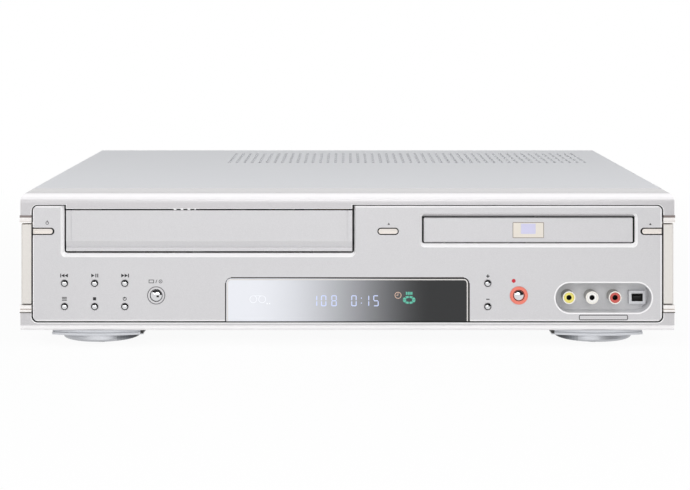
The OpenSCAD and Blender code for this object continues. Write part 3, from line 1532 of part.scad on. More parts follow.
module mains_inlet() {
  y0 = y_back - sheet_t - 1.2;
  color("black")
    difference() {
      box(inlet_at[0] - inlet_w / 2, inlet_at[0] + inlet_w / 2, y0 - 18, y_back - 0.8,
          inlet_at[1] - inlet_h / 2, inlet_at[1] + inlet_h / 2);
      slab_y(y_back - 14, y_back) {
        for (s = [-1, 1]) translate([inlet_at[0] + s * 4.3, inlet_at[1]]) circle(r = 4.4);
        rect(inlet_at[0] - 4.3, inlet_at[0] + 4.3, inlet_at[1] - 3.4, inlet_at[1] + 3.4);
      }
    }
  color("silver")
    for (s = [-1, 1]) bar_y(inlet_at[0] + s * 4.3, inlet_at[1], 1.15, y_back - 14.5, y_back - 3);
}

bottom_chassis();
top_cover();
rear_panel();
case_screws();
front_frame();
front_panel();
side_pillars();
pillar_collars();
display_window();
control_board();
jack_bay();
jack_barrels();
video_jack_insert();
left_jack_insert();
right_jack_insert();
dv_socket();
standby_button();
eject_button();
open_close_button();
rewind_button();
play_button();
forward_button();
disc_menu_button();
stop_button();
rec_speed_button();
select_button();
channel_up_button();
channel_down_button();
record_button();
record_ring();
cassette_flap();
front_feet();
foot_bowls();
rubber_feet();
loader_chassis();
disc_tray();
tray_front();
clamp_puck();
pickup_base();
pickup_sled();
disc_turntable();
loading_motor();
motor_pulley();
loading_belt();
pulley_gear();
drive_gear();
deck_plate();
lower_drum();
head_drum();
supply_reel();
takeup_reel();
capstan();
pinch_arm();
pinch_roller();
carriage_slider();
cassette_holder();
main_board();
power_board();
rear_sockets();
mains_inlet();
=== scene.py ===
import math

import bmesh
import bpy
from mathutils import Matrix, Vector


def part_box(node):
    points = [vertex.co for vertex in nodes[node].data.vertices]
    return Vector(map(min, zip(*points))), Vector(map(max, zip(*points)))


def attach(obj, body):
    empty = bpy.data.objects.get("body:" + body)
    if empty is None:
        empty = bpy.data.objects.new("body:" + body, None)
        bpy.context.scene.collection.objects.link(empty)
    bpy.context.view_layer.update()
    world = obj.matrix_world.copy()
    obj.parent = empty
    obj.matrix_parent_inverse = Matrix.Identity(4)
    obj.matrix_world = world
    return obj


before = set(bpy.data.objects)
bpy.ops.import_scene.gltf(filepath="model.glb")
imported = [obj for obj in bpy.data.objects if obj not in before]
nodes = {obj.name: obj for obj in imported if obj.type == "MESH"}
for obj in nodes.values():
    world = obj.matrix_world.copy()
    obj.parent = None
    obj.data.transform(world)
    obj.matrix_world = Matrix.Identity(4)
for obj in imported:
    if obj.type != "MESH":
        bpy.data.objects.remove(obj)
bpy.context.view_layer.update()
mm = 0.001
print("frame:", len(nodes), "parts")

# corners of the parts that prints, trims and paint edges are set out from, in metres
panelLow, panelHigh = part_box("front_panel")
windowLow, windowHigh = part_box("display_window")
trayLow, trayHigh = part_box("tray_front")
frontLow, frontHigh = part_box("front_frame")
flapLow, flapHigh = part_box("cassette_flap")
collarLow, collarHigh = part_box("pillar_collars")
panelFace = panelLow.y

# heights of the case's lower lip and of its top, and places of its two front faces, in millimetres
lip = frontLow.z / mm
top = frontHigh.z / mm
faceY = panelFace / mm
frontY = frontLow.y / mm

# a level camera, raised above the case, whose film is shifted down so that upright edges stay upright
shot = {"distance": 1111, "overLip": 207.4, "lens": 88.17, "shiftX": -0.0035, "shiftY": -0.3333}
camera = bpy.data.objects.new("camera", bpy.data.cameras.new("camera"))
camera.location = (0, frontLow.y - shot["distance"] * mm, (lip + shot["overLip"]) * mm)
camera.rotation_euler = (math.radians(90), 0, 0)
camera.data.lens = shot["lens"]
camera.data.shift_x = shot["shiftX"]
camera.data.shift_y = shot["shiftY"]
bpy.context.scene.collection.objects.link(camera)
bpy.context.scene.camera = camera
bpy.context.scene.view_settings.view_transform = "Standard"


# sRGB hex to the linear colour that a shader takes
def hexColour(code):
    parts = [int(code[i:i + 2], 16) / 255 for i in (0, 2, 4)]
    linear = [p / 12.92 if p <= 0.04045 else ((p + 0.055) / 1.055) ** 2.4 for p in parts]
    return (*linear, 1)


# adds one node with its settings, socket values and incoming links
def addNode(tree, kind, settings={}, values={}, links={}):
    node = tree.nodes.new("ShaderNode" + kind)
    for name, value in settings.items():
        setattr(node, name, value)
    for socket, value in values.items():
        node.inputs[socket].default_value = value
    for socket, source in links.items():
        tree.links.new(source, node.inputs[socket])
    return node


# a principled material with its constants on the shader's own sockets
def startMaterial(name, values):
    material = bpy.data.materials.new(name)
    material.use_nodes = True
    tree = material.node_tree
    shader = tree.nodes["Principled BSDF"]
    for socket, value in values.items():
        shader.inputs[socket].default_value = value
    place = addNode(tree, "TexCoord").outputs["Object"]
    return material, tree, shader, place


# one where a point lies in any of the boxes, each given in millimetres as x0, x1, y0, y1, z0, z1
def insideBoxes(tree, axes, boxes):
    unbounded = 1.5    # metres: a span longer than this holds everywhere and needs no test
    found = None
    for box in boxes:
        share = None
        for k, axis in enumerate("XYZ"):
            low, high = box[2 * k] * mm, box[2 * k + 1] * mm
            if high - low > unbounded:
                continue
            near = addNode(tree, "Math", {"operation": "COMPARE"}, {1: (low + high) / 2, 2: (high - low) / 2},
                           {0: axes.outputs[axis]}).outputs[0]
            if share:
                near = addNode(tree, "Math", {"operation": "MULTIPLY"}, links={0: share, 1: near}).outputs[0]
            share = near
        if found:
            share = addNode(tree, "Math", {"operation": "MAXIMUM"}, links={0: found, 1: share}).outputs[0]
        found = share
    return found


# lays each zone's colour over the coat, inside that zone's boxes
def paintZones(tree, place, coat, zones):
    if not zones:
        return coat
    axes = addNode(tree, "SeparateXYZ", links={"Vector": place})
    for colour, boxes in zones:
        coat = addNode(tree, "Mix", {"data_type": "RGBA"}, {"B": hexColour(colour)},
                       {"Factor": insideBoxes(tree, axes, boxes), "A": coat}).outputs["Result"]
    return coat


# a finish whose tone, gloss and relief vary with a grain and a broader cloud, both sized in millimetres. Real
# flakes, tool marks and mould grain are too fine to show, so they are drawn as coarse as they need to be
def grainyFinish(name, look):
    material, tree, shader, place = startMaterial(name, look.get("shader", {}))
    stretch = addNode(tree, "Mapping", values={"Scale": look.get("stretch", (1, 1, 1))},
                      links={"Vector": place})
    grain = addNode(tree, "TexNoise", values={"Scale": 1 / (look["grain"] * mm),
                                              "Detail": look.get("detail", 2)},
                    links={"Vector": stretch.outputs[0]})
    cloud = addNode(tree, "TexNoise", values={"Scale": 1 / (look["cloud"] * mm), "Detail": 3},
                    links={"Vector": place})
    both = addNode(tree, "Mix", {"data_type": "FLOAT"}, {"Factor": look.get("cloudShare", 0.35)},
                   {"A": grain.outputs[0], "B": cloud.outputs[0]})
    # noise keeps near a half, and the spread says how far from it the two colours lie
    reach = look["spread"] * 2
    tone = addNode(tree, "MapRange", values={"From Min": 0.5 - reach, "From Max": 0.5 + reach},
                   links={"Value": both.outputs["Result"]})
    dark, light = (hexColour(c) for c in look["colours"])
    paint = addNode(tree, "Mix", {"data_type": "RGBA"}, {"A": dark, "B": light}, {"Factor": tone.outputs[0]})
    coat = paintZones(tree, place, paint.outputs["Result"], look.get("zones", []))
    tree.links.new(coat, shader.inputs["Base Color"])
    low, high = look["roughness"]
    gloss = addNode(tree, "MapRange", values={"To Min": low, "To Max": high},
                    links={"Value": both.outputs["Result"]})
    tree.links.new(gloss.outputs[0], shader.inputs["Roughness"])
    relief = addNode(tree, "Bump", values={"Strength": look["relief"], "Distance": look["depth"] * mm},
                     links={"Height": grain.outputs[0]})
    tree.links.new(relief.outputs[0], shader.inputs["Normal"])
    return material


# silver lacquer on moulded ABS: fine metal flakes give a soft, even grey
def silverLacquer(name, zones, dark="c6c5c7", light="d3d2d4"):
    return grainyFinish(name, {
        "zones": zones, "colours": (dark, light), "grain": 0.7, "detail": 3, "cloud": 90, "cloudShare": 0.15,
        "spread": 0.2, "roughness": (0.36, 0.44), "relief": 0.02, "depth": 0.004,
        "shader": {"Metallic": 0.2, "Coat Weight": 0.1, "Coat Roughness": 0.25}})


# pearl lacquer on moulded ABS: paler and glossier, so that a round edge shines
def pearlLacquer(zones):
    return grainyFinish("pearlLacquer", {
        "zones": zones, "colours": ("c1bfc1", "cbc9cb"), "grain": 0.8, "cloud": 110, "cloudShare": 0.2,
        "spread": 0.2, "roughness": (0.28, 0.34), "relief": 0.01, "depth": 0.003,
        "shader": {"Metallic": 0.15, "Coat Weight": 0.35, "Coat Roughness": 0.15}})


# stove-enamelled sheet steel: an even silver grey with a very fine orange peel
def enamelledSheet():
    return grainyFinish("enamelledSheet", {
        "colours": ("e2e4e8", "eaebef"), "grain": 1.1, "cloud": 140, "cloudShare": 0.3, "spread": 0.14,
        "roughness": (0.42, 0.5), "relief": 0.06, "depth": 0.02, "shader": {"Specular IOR Level": 0.25}})


# cream lacquer on moulded ABS: warm, smooth and a little glossy
def creamLacquer(name, dark, light, zones):
    return grainyFinish(name, {
        "zones": zones, "colours": (dark, light), "grain": 1.5, "cloud": 40, "cloudShare": 0.4, "spread": 0.2,
        "roughness": (0.3, 0.38), "relief": 0.02, "depth": 0.01,
        "shader": {"Coat Weight": 0.4, "Coat Roughness": 0.12}})


# acrylic pane, pale at the left and fading to smoke towards the right
def smokedAcrylic(zones):
    look = {"pale": "e4e6ec", "smoke": "0b0d10", "from": -66 * mm, "to": 56 * mm,
            "shader": {"Roughness": 0.09, "Coat Weight": 0.2, "Coat Roughness": 0.04}}
    material, tree, shader, place = startMaterial("smokedAcrylic", look["shader"])
    axes = addNode(tree, "SeparateXYZ", links={"Vector": place})
    along = addNode(tree, "MapRange", values={"From Min": look["from"], "From Max": look["to"]},
                    links={"Value": axes.outputs["X"]})
    fade = addNode(tree, "ValToRGB", links={"Fac": along.outputs[0]})
    fade.color_ramp.interpolation = "EASE"
    fade.color_ramp.elements[0].color = hexColour(look["pale"])
    fade.color_ramp.elements[1].color = hexColour(look["smoke"])
    tree.links.new(paintZones(tree, place, fade.outputs[0], zones), shader.inputs["Base Color"])
    return material


# vacuum-plated ABS: bright, with the faint waviness of the moulding under it
def platedPlastic(zones):
    return grainyFinish("platedPlastic", {
        "zones": zones, "colours": ("cfd0d2", "e4e4e6"), "grain": 0.6, "cloud": 3, "spread": 0.3,
        "roughness": (0.08, 0.16), "relief": 0.12, "depth": 0.02, "shader": {"Metallic": 1.0}})


# nickel plating on a turned brass shell: greyish, with fine rings from the tool
def nickelPlate(zones):
    return grainyFinish("nickelPlate", {
        "zones": zones, "colours": ("7d7b75", "a6a39b"), "grain": 0.35, "stretch": (0.2, 1, 0.2), "cloud": 4,
        "spread": 0.3, "roughness": (0.18, 0.3), "relief": 0.15, "depth": 0.02, "shader": {"Metallic": 1.0}})


# plastic moulded in one colour, with the fine grain of a spark-eroded tool
def mouldedPlastic(name, dark, light, roughness=(0.42, 0.55), zones=[]):
    return grainyFinish(name, {
        "zones": zones, "colours": (dark, light), "grain": 0.5, "cloud": 25, "spread": 0.25,
        "roughness": roughness, "relief": 0.15, "depth": 0.03})


# zinc-plated sheet steel: spangled grey with a soft shine
def zincPlate():
    return grainyFinish("zincPlate", {
        "colours": ("8f9192", "b4b5b4"), "grain": 5, "detail": 6, "cloud": 30, "spread": 0.2,
        "roughness": (0.3, 0.45), "relief": 0.08, "depth": 0.02, "shader": {"Metallic": 0.85}})


# turned aluminium: bright, with tool marks that run round
def turnedAluminium():
    return grainyFinish("turnedAluminium", {
        "colours": ("b4b4b6", "d2d2d4"), "grain": 0.3, "stretch": (0.15, 0.15, 1), "cloud": 20,
        "spread": 0.25, "roughness": (0.16, 0.28), "relief": 0.12, "depth": 0.01,
        "shader": {"Metallic": 1.0}})


# spun aluminium: satin, so that it carries broad soft reflections
def spunAluminium(zones):
    return grainyFinish("spunAluminium", {
        "zones": zones, "colours": ("a9abaf", "c6c7cb"), "grain": 0.6, "stretch": (0.1, 0.1, 1), "cloud": 15,
        "spread": 0.25, "roughness": (0.36, 0.46), "relief": 0.1, "depth": 0.01, "shader": {"Metallic": 0.8}})


# vulcanised rubber: dull black with a dusty bloom
def blackRubber():
    return grainyFinish("blackRubber", {
        "colours": ("141414", "2a2928"), "grain": 0.9, "detail": 4, "cloud": 8, "spread": 0.3,
        "roughness": (0.7, 0.88), "relief": 0.25, "depth": 0.05})


# natural acetal: waxy off-white
def naturalAcetal():
    return grainyFinish("naturalAcetal", {
        "colours": ("d9d5c8", "ebe8de"), "grain": 2, "cloud": 12, "spread": 0.25, "roughness": (0.35, 0.45),
        "relief": 0.05, "depth": 0.02, "shader": {"Subsurface Weight": 0.1, "Subsurface Scale": 0.002}})


# circuit board: solder mask over copper tracks, which show as slightly paler raised lines
def circuitBoard(name, mask, tracks):
    look = {"cell": 20.8, "track": 0.416, "run": 18.72, "row": 2.496, "fibre": 0.8, "fibreShare": 0.35,
            "relief": 0.3, "depth": 0.05, "shader": {"Roughness": 0.35, "Coat Weight": 0.3}}
    material, tree, shader, place = startMaterial(name, look["shader"])
    lines = addNode(tree, "TexBrick", {"offset": 0.5}, {
        "Color1": hexColour(mask), "Color2": hexColour(mask), "Mortar": hexColour(tracks),
        "Scale": 1 / (look["cell"] * mm), "Mortar Size": look["track"] / look["cell"],
        "Brick Width": look["run"] / look["cell"], "Row Height": look["row"] / look["cell"]},
        {"Vector": place})
    fibre = addNode(tree, "TexNoise", values={"Scale": 1 / (look["fibre"] * mm), "Detail": 3},
                    links={"Vector": place})
    blend = addNode(tree, "Mix", {"data_type": "RGBA", "blend_type": "OVERLAY"},
                    {"Factor": look["fibreShare"]},
                    {"A": lines.outputs["Color"], "B": fibre.outputs["Color"]})
    tree.links.new(blend.outputs["Result"], shader.inputs["Base Color"])
    relief = addNode(tree, "Bump", values={"Strength": look["relief"], "Distance": look["depth"] * mm},
                     links={"Height": lines.outputs["Fac"]})
    tree.links.new(relief.outputs[0], shader.inputs["Normal"])
    return material


# screen-printing ink: matt, with a slightly uneven coat
def printedInk(name, dark, light):
    return grainyFinish(name, {
        "colours": (dark, light), "grain": 0.25, "cloud": 5, "spread": 0.3, "roughness": (0.45, 0.6),
        "relief": 0.1, "depth": 0.01})


# lit phosphor of a display tube: an even glow, with the fine mesh of the tube's grid over it
def litPhosphor(name, colour, strength):
    look = {"mesh": 0.4, "from": 0.2, "to": 0.8, "dimmest": 0.82, "roughness": 0.4}
    material, tree, shader, place = startMaterial(name, {"Roughness": look["roughness"],
                                                         "Emission Strength": strength})
    mesh = addNode(tree, "TexNoise", values={"Scale": 1 / (look["mesh"] * mm), "Detail": 1},
                   links={"Vector": place})
    glow = addNode(tree, "MapRange", values={"From Min": look["from"], "From Max": look["to"],
                                             "To Min": look["dimmest"], "To Max": 1.0},
                   links={"Value": mesh.outputs[0]})
    lit = addNode(tree, "Mix", {"data_type": "RGBA"}, {"A": (0, 0, 0, 1), "B": hexColour(colour)},
                  {"Factor": glow.outputs[0]})
    tree.links.new(lit.outputs["Result"], shader.inputs["Base Color"])
    tree.links.new(lit.outputs["Result"], shader.inputs["Emission Color"])
    return material


# colours where the lacquer of the front ends: the unlacquered moulding is near black, darker than black ABS
# as painted shade, so that every gap and hole reads dark; bevels, edges, the lip and the round top edge are
# bright as painted highlights; shelf, groove, seam and gap are painted shade, and dark is painted shade on
# the feet and a painted reflection on the selector
tones = {"bareAndShade": "060607", "bevel": "f6f5f6", "edge": "f4f3f4", "gap": "1a1816", "lip": "f4f2f3",
         "shelf": "a9a7a8", "groove": "6f6d71", "seam": "55524f", "paintedHighlight": "dddbdd", "paintedHighlightTop": "f8f6f8",
         "dark": "3a3836"}
wide = (-2000, 2000)    # a span that holds everywhere
beyond = 400            # past either end of the case, in a span that is bounded on one side
deep = 60               # past the back of every front moulding


# the span between two depths behind the panel's face
def behindFace(front, back=deep):
    return faceY + front, faceY + back


# front panel: bright bevels round the slots of the flap and the tray and along its own edges, as painted
# highlights, a grey shelf under the tray's slot as painted shade, and near black behind as painted shade
panelLook = {"proud": 0.1, "skin": 0.03, "edgeDepth": 0.56, "bevelDepth": 1.66, "over": 1,
             "top": 0.95, "bottom": 0.95, "left": 0.7, "right": 0.95}
flapRim = {"left": 1.2, "right": 6.5, "below": 4.1}
trayRim = {"left": 2.8, "right": 3.4, "around": 3.6, "shelfDepth": 3.4, "shelfHeight": 2}
bevel = behindFace(panelLook["skin"], panelLook["bevelDepth"])
edge = behindFace(-panelLook["proud"], panelLook["edgeDepth"])
flapSlot = (flapLow.x / mm - flapRim["left"], flapHigh.x / mm + flapRim["right"], *bevel,
            flapLow.z / mm - flapRim["below"], top)
traySlot = (trayLow.x / mm - trayRim["left"], trayHigh.x / mm + trayRim["right"], *bevel,
            trayLow.z / mm - trayRim["around"], trayHigh.z / mm + trayRim["around"])
trayShelf = (*traySlot[:2], *behindFace(panelLook["bevelDepth"], trayRim["shelfDepth"]),
             trayLow.z / mm - trayRim["shelfHeight"], trayLow.z / mm)
panelZones = [
    (tones["bareAndShade"], [(*wide, *behindFace(panelLook["edgeDepth"]), *wide)]),
    (tones["bevel"], [flapSlot, traySlot]),
    (tones["shelf"], [trayShelf]),
    (tones["edge"], [
        (*wide, *edge, panelLow.z / mm - panelLook["over"], panelLow.z / mm + panelLook["bottom"]),
        (*wide, *edge, panelHigh.z / mm - panelLook["top"], panelHigh.z / mm + panelLook["over"]),
        (panelLow.x / mm - panelLook["over"], panelLow.x / mm + panelLook["left"], *edge, *wide),
        (panelHigh.x / mm - panelLook["right"], panelHigh.x / mm + panelLook["over"], *edge, *wide)])]

# the three long keys stand in holes whose walls are painted near black as painted shade
keyHole = {"side": 1.5, "half": 2.6, "skin": 0.08}
keyHoles = []
for name in ("standby_button", "eject_button", "open_close_button"):
    low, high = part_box(name)
    middle = (low.z + high.z) / 2 / mm
    keyHoles.append((low.x / mm - keyHole["side"], high.x / mm + keyHole["side"],
                     *behindFace(keyHole["skin"]), middle - keyHole["half"], middle + keyHole["half"]))
panelZones.append((tones["bareAndShade"], keyHoles))

# the selector carries a painted dark reflection where the real one is dimpled, and stands in a groove
# whose walls are painted grey as painted shade
selector = {"groove": 6.4, "grooveDepths": (0.3, 0.55), "dimpleX": (0.3, 1.9), "dimpleZ": (-1.1, 0.2)}
selectLow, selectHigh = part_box("select_button")
selectX, selectZ = (selectLow.x + selectHigh.x) / 2 / mm, (selectLow.z + selectHigh.z) / 2 / mm
panelZones.append((tones["groove"], [
    (selectX - selector["groove"], selectX + selector["groove"], *behindFace(*selector["grooveDepths"]),
     selectZ - selector["groove"], selectZ + selector["groove"])]))
dimpleReflection = (*(selectX + x for x in selector["dimpleX"]), *wide, *(selectZ + z for z in selector["dimpleZ"]))

# the display's pane stands inside its flange, with a dark seam of painted shade round it, and its flange is
# painted near black as painted shade
paneLook = {"flange": 1.6, "corner": 3, "seam": (0.4, 0.85), "skin": 0.25, "overlap": 0.05, "above": 20}
paneLeft, paneRight = windowLow.x / mm + paneLook["flange"], windowHigh.x / mm - paneLook["flange"]
paneTop = windowHigh.z / mm - paneLook["flange"]
seamIn, seamOut = paneLook["seam"]
seamHeight = (windowLow.z / mm - panelLook["over"], paneTop - paneLook["corner"])
panelZones.append((tones["seam"], [
    (paneLeft + paneLook["corner"], paneRight - paneLook["corner"], *edge,
     paneTop + seamIn, paneTop + seamOut),
    (paneLeft - seamOut, paneLeft - seamIn, *edge, *seamHeight),
    (paneRight + seamIn, paneRight + seamOut, *edge, *seamHeight)]))
flange = behindFace(paneLook["skin"])
windowZones = [(tones["bareAndShade"], [
    (*wide, *flange, paneTop - paneLook["overlap"], paneTop + paneLook["above"]),
    (-beyond, paneLeft + paneLook["overlap"], *flange, *wide),
    (paneRight - paneLook["overlap"], beyond, *flange, *wide)])]

# plated keys: painted near black behind their domes, as painted shade in the gaps round them; the domes are
# flatter on the small keys, given by one key of each column
keyDomes = {"large": 0.42, "small": 0.11, "side": 1,
            "columns": ("rewind_button", "play_button", "forward_button", "channel_up_button")}
shanks = [(*wide, *behindFace(keyDomes["large"]), *wide)]
for name in keyDomes["columns"]:
    low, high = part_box(name)
    shanks.append((low.x / mm - keyDomes["side"], high.x / mm + keyDomes["side"],
                   *behindFace(keyDomes["small"]), *wide))

# moulding round the front: near black in its opening and its shell, partly the unlacquered moulding and
# partly painted shade, bright along its lip, its opening and its round top edge as painted highlights, with a
# dark gap over the lower collars as painted shade and a pale one under the upper collars, painted pale
# against the shade in it
frameLook = {"opening": 1.5, "skin": 0.03, "edgeDepth": 0.56, "wall": 2.1, "wallDepth": 7.9, "lip": (1, 3.5),
             "paintedHighlight": (4.9, 0.2), "paintedHighlightTop": (4.2, 0.7), "gapDepths": (0.6, 6.4)}
collars = {"height": 5.0, "gap": 1.0, "over": 0.1, "paleGap": "e6ded6", "line": "a1958a",
           "upperLine": (1.1, 1.4), "lowerLine": (2.1, 2.55), "shade": ("7f7472", 3.5, 5.1),
           "foot": ("55504c", -0.1, 0.65)}
lowerCollar = collarLow.z / mm
upperCollar = collarHigh.z / mm - collars["height"]
opening = (panelLow.x / mm - frameLook["opening"], panelHigh.x / mm + frameLook["opening"])
openingHeight = (panelLow.z / mm - frameLook["opening"], panelHigh.z / mm + frameLook["opening"])
collarGap = tuple(frontY + depth for depth in frameLook["gapDepths"])
frameZones = [
    (tones["bareAndShade"], [
        (*opening, frontY + frameLook["edgeDepth"], frontY + deep, *openingHeight),
        (frontLow.x / mm + frameLook["wall"], frontHigh.x / mm - frameLook["wall"],
         frontY + frameLook["wallDepth"], frontY + deep, lip + frameLook["wall"], top - frameLook["wall"])]),
    (tones["edge"], [
        (*opening, frontY + frameLook["skin"], frontY + frameLook["edgeDepth"], *openingHeight)]),
    (tones["lip"], [(*wide, *wide, lip - frameLook["lip"][0], lip + frameLook["lip"][1])]),
    (tones["paintedHighlight"], [(*wide, *wide, *(top - z for z in frameLook["paintedHighlight"]))]),
    (tones["paintedHighlightTop"], [(*wide, *wide, *(top - z for z in frameLook["paintedHighlightTop"]))]),
    (tones["gap"], [(*wide, *collarGap, lowerCollar + collars["height"] - collars["over"],
                     lowerCollar + collars["height"] + collars["gap"] + collars["over"])]),
    (collars["paleGap"], [(*wide, *collarGap, upperCollar - collars["gap"] - collars["over"],
                           upperCollar + collars["over"])])]
# painted shade on the collars: a dark band at the top of the upper collars, a dark line at the foot of the
# lower collars, and a thin dark line on each
shade, shadeLow, shadeHigh = collars["shade"]
foot, footLow, footHigh = collars["foot"]
collarZones = [
    (shade, [(*wide, *wide, upperCollar + shadeLow, upperCollar + shadeHigh)]),
    (foot, [(*wide, *wide, lowerCollar + footLow, lowerCollar + footHigh)]),
    (collars["line"], [(*wide, *wide, *(upperCollar + z for z in collars["upperLine"])),
                       (*wide, *wide, *(lowerCollar + z for z in collars["lowerLine"]))])]

# painted shade: the bowls under the feet are painted darker towards the pads, and in steps to the tips that
# face the middle
bowls = {"width": 51.6, "base": ("9a9ca0", 1.5), "over": 1,
         "tips": (("9d9fa3", 13.0), ("909296", 11.0), ("828488", 9.2), ("74767a", 7.6), ("66676b", 6.2),
                  ("58595d", 5.0), ("4a4b4e", 3.9), ("3c3d40", 2.9))}
bowlLow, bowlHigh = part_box("foot_bowls")
base, baseHeight = bowls["base"]
bowlZones = [(base, [(*wide, *wide, bowlLow.z / mm - bowls["over"], bowlLow.z / mm + baseHeight)])]
for colour, reach in bowls["tips"]:
    bowlZones.append((colour, [(bowlLow.x / mm + bowls["width"] - reach,
                                bowlHigh.x / mm - bowls["width"] + reach, *wide, *wide)]))

# painted shade: the flanges of the feet are painted dark at the tips that face the middle
footTips = {"x": 136.8, "below": (3, 0.9)}
footZones = [(tones["dark"], [(-footTips["x"], footTips["x"], *wide, *(lip - z for z in footTips["below"]))])]

# the flap's edges behind its face and its top edge are painted near black as painted shade, but for four
# stops on the top edge, which show as grey bars in the gap
flapLook = {"header": 11.5, "faceDepth": 1.25, "topSkin": 0.05, "over": 0.1, "above": 20,
            "stops": ((-175.8, -163.3), (-109.4, -94.3), (-75.9, -67.3), (-18.0, -4.2))}
flapEdge = top - flapLook["header"]
flapRange = (flapEdge - flapLook["over"], flapEdge + flapLook["above"])
starts = [stop[0] for stop in flapLook["stops"]]
ends = [stop[1] for stop in flapLook["stops"]]
shadedFlapTop = [(a, b, *behindFace(flapLook["topSkin"]), *flapRange)
           for a, b in zip([-beyond] + ends, starts + [beyond])]
flapZones = [(tones["bareAndShade"], [(*wide, *behindFace(flapLook["faceDepth"]), lip, flapRange[0])] + shadedFlapTop)]

# sockets at the front: pale rims on the barrels, plug holes painted near black as painted shade, and a pale
# bezel on the digital socket, whose inside is painted near black as painted shade
sockets = {"rim": ("f6f3ec", 0.1, 0.5), "hole": 0.3, "bezel": "d4d5d8", "bezelSide": 1.78,
           "bezelHeight": 1.88, "inside": 1.2, "over": 1}
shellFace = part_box("jack_barrels")[0].y / mm
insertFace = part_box("video_jack_insert")[0].y / mm
socketLow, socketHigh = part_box("dv_socket")
rim, rimFront, rimDepth = sockets["rim"]
barrelZones = [(rim, [(*wide, shellFace - rimFront, shellFace + rimDepth, *wide)])]
plugZones = [(tones["bareAndShade"], [(*wide, insertFace + sockets["hole"], insertFace + deep, *wide)])]
socketX = (socketLow.x / mm - sockets["over"], socketHigh.x / mm + sockets["over"])
socketZ = (socketLow.z / mm - sockets["over"], socketHigh.z / mm + sockets["over"])
socketZones = [
    (tones["bareAndShade"], [(*wide, socketLow.y / mm + sockets["inside"], socketLow.y / mm + deep, *wide)]),
    (sockets["bezel"], [
        (socketX[0], socketLow.x / mm + sockets["bezelSide"], *wide, *wide),
        (socketHigh.x / mm - sockets["bezelSide"], socketX[1], *wide, *wide),
        (*socketX, *wide, socketZ[0], socketLow.z / mm + sockets["bezelHeight"]),
        (*socketX, *wide, socketHigh.z / mm - sockets["bezelHeight"], socketZ[1])])]

# sockets at the back: nickel shells, and a coloured ring in each phono socket
rear = {"proud": 8, "shell": "aaa79f", "shellReach": 5, "shellSpan": (0.7, 7.1), "aerialReach": 5.5,
        "aerialSpan": (0.1, 8.1), "ringReach": 2.9, "ringSpan": (6.5, 6.7), "holeReach": 1.6,
        "holeSpan": (-4, 6.5),
        "phonos": (("e2d45f", 44, 58), ("e9e8e4", 44, 36), ("d98a3d", 30, 58), ("b94a42", 30, 36)),
        "aerials": ((-40, 60), (-40, 38))}
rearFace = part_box("rear_sockets")[1].y / mm - rear["proud"]


# a box round one of the rear sockets, which reaches as far sideways as up and down
def roundSocket(x, up, part):
    reach, span = rear[part + "Reach"], rear[part + "Span"]
    return (x - reach, x + reach, rearFace + span[0], rearFace + span[1], lip + up - reach, lip + up + reach)


rearZones = [(rear["shell"], [roundSocket(x, up, "shell") for colour, x, up in rear["phonos"]] +
              [roundSocket(x, up, "aerial") for x, up in rear["aerials"]])]
for colour, x, up in rear["phonos"]:
    rearZones.append((colour, [roundSocket(x, up, "ring")]))
# the phono sockets' plug holes are painted near black as painted shade
rearZones.append((tones["bareAndShade"], [roundSocket(x, up, "hole") for colour, x, up in rear["phonos"]]))

# depths behind the face past which the remaining mouldings are painted near black as painted shade, and to
# which the bay's bevel reaches, painted bright as a painted highlight
depths = {"tray": 5, "key": 0.15, "bay": (-1, 0.9)}
trayZones = [(tones["bareAndShade"], [(*wide, *behindFace(depths["tray"]), *wide)])]
keyZones = [(tones["bareAndShade"], [(*wide, *behindFace(depths["key"]), *wide)])]
bayZones = [(tones["bevel"], [(*wide, *behindFace(*depths["bay"]), *wide)])]

panelSilver = silverLacquer("panelLacquer", panelZones)
flapSilver = silverLacquer("flapLacquer", flapZones)
traySilver = silverLacquer("trayLacquer", trayZones)
# the bay's lacquer is paler than the panel's, as painted light against the shade in the bay
bayLightenedSilver = silverLacquer("bayLacquerLightened", bayZones, "d6d6d8", "e2e2e4")
frameSilver = pearlLacquer(frameZones)
coverSilver = enamelledSheet()
pillarCream = creamLacquer("creamLacquer", "d6d2cd", "dfdbd6", [])
collarCream = creamLacquer("collarLacquer", "ece8e6", "f6f3f1", collarZones)
keyCream = creamLacquer("keyLacquer", "dcd5ce", "ece6e0", keyZones)
window = smokedAcrylic(windowZones)
# the plated keys are near black behind their domes as painted shade, and the selector carries a painted dark
# reflection
chrome = platedPlastic([(tones["bareAndShade"], shanks), (tones["dark"], [dimpleReflection])])
nickel = nickelPlate(barrelZones)
zinc = zincPlate()
aluminium = turnedAluminium()
spun = spunAluminium(bowlZones)
rubber = blackRubber()
acetal = naturalAcetal()
blackAbs = mouldedPlastic("blackAbs", "17181a", "26272a")
charcoalAbs = mouldedPlastic("charcoalAbs", "2b2c2e", "3a3b3d")
footGrey = mouldedPlastic("footGrey", "c2c4c9", "d4d6da", (0.3, 0.42), footZones)
salmon = mouldedPlastic("salmonRing", "e2705f", "f08a78", (0.25, 0.35))
jackYellow = mouldedPlastic("jackYellow", "e2d45f", "efe486", (0.35, 0.45), plugZones)
jackWhite = mouldedPlastic("jackWhite", "e9e8e4", "f6f5f2", (0.35, 0.45), plugZones)
jackRed = mouldedPlastic("jackRed", "b94a42", "cf6158", (0.35, 0.45), plugZones)
socketAbs = mouldedPlastic("socketAbs", "17181a", "26272a", zones=socketZones)
rearAbs = mouldedPlastic("rearAbs", "17181a", "26272a", (0.3, 0.4), rearZones)
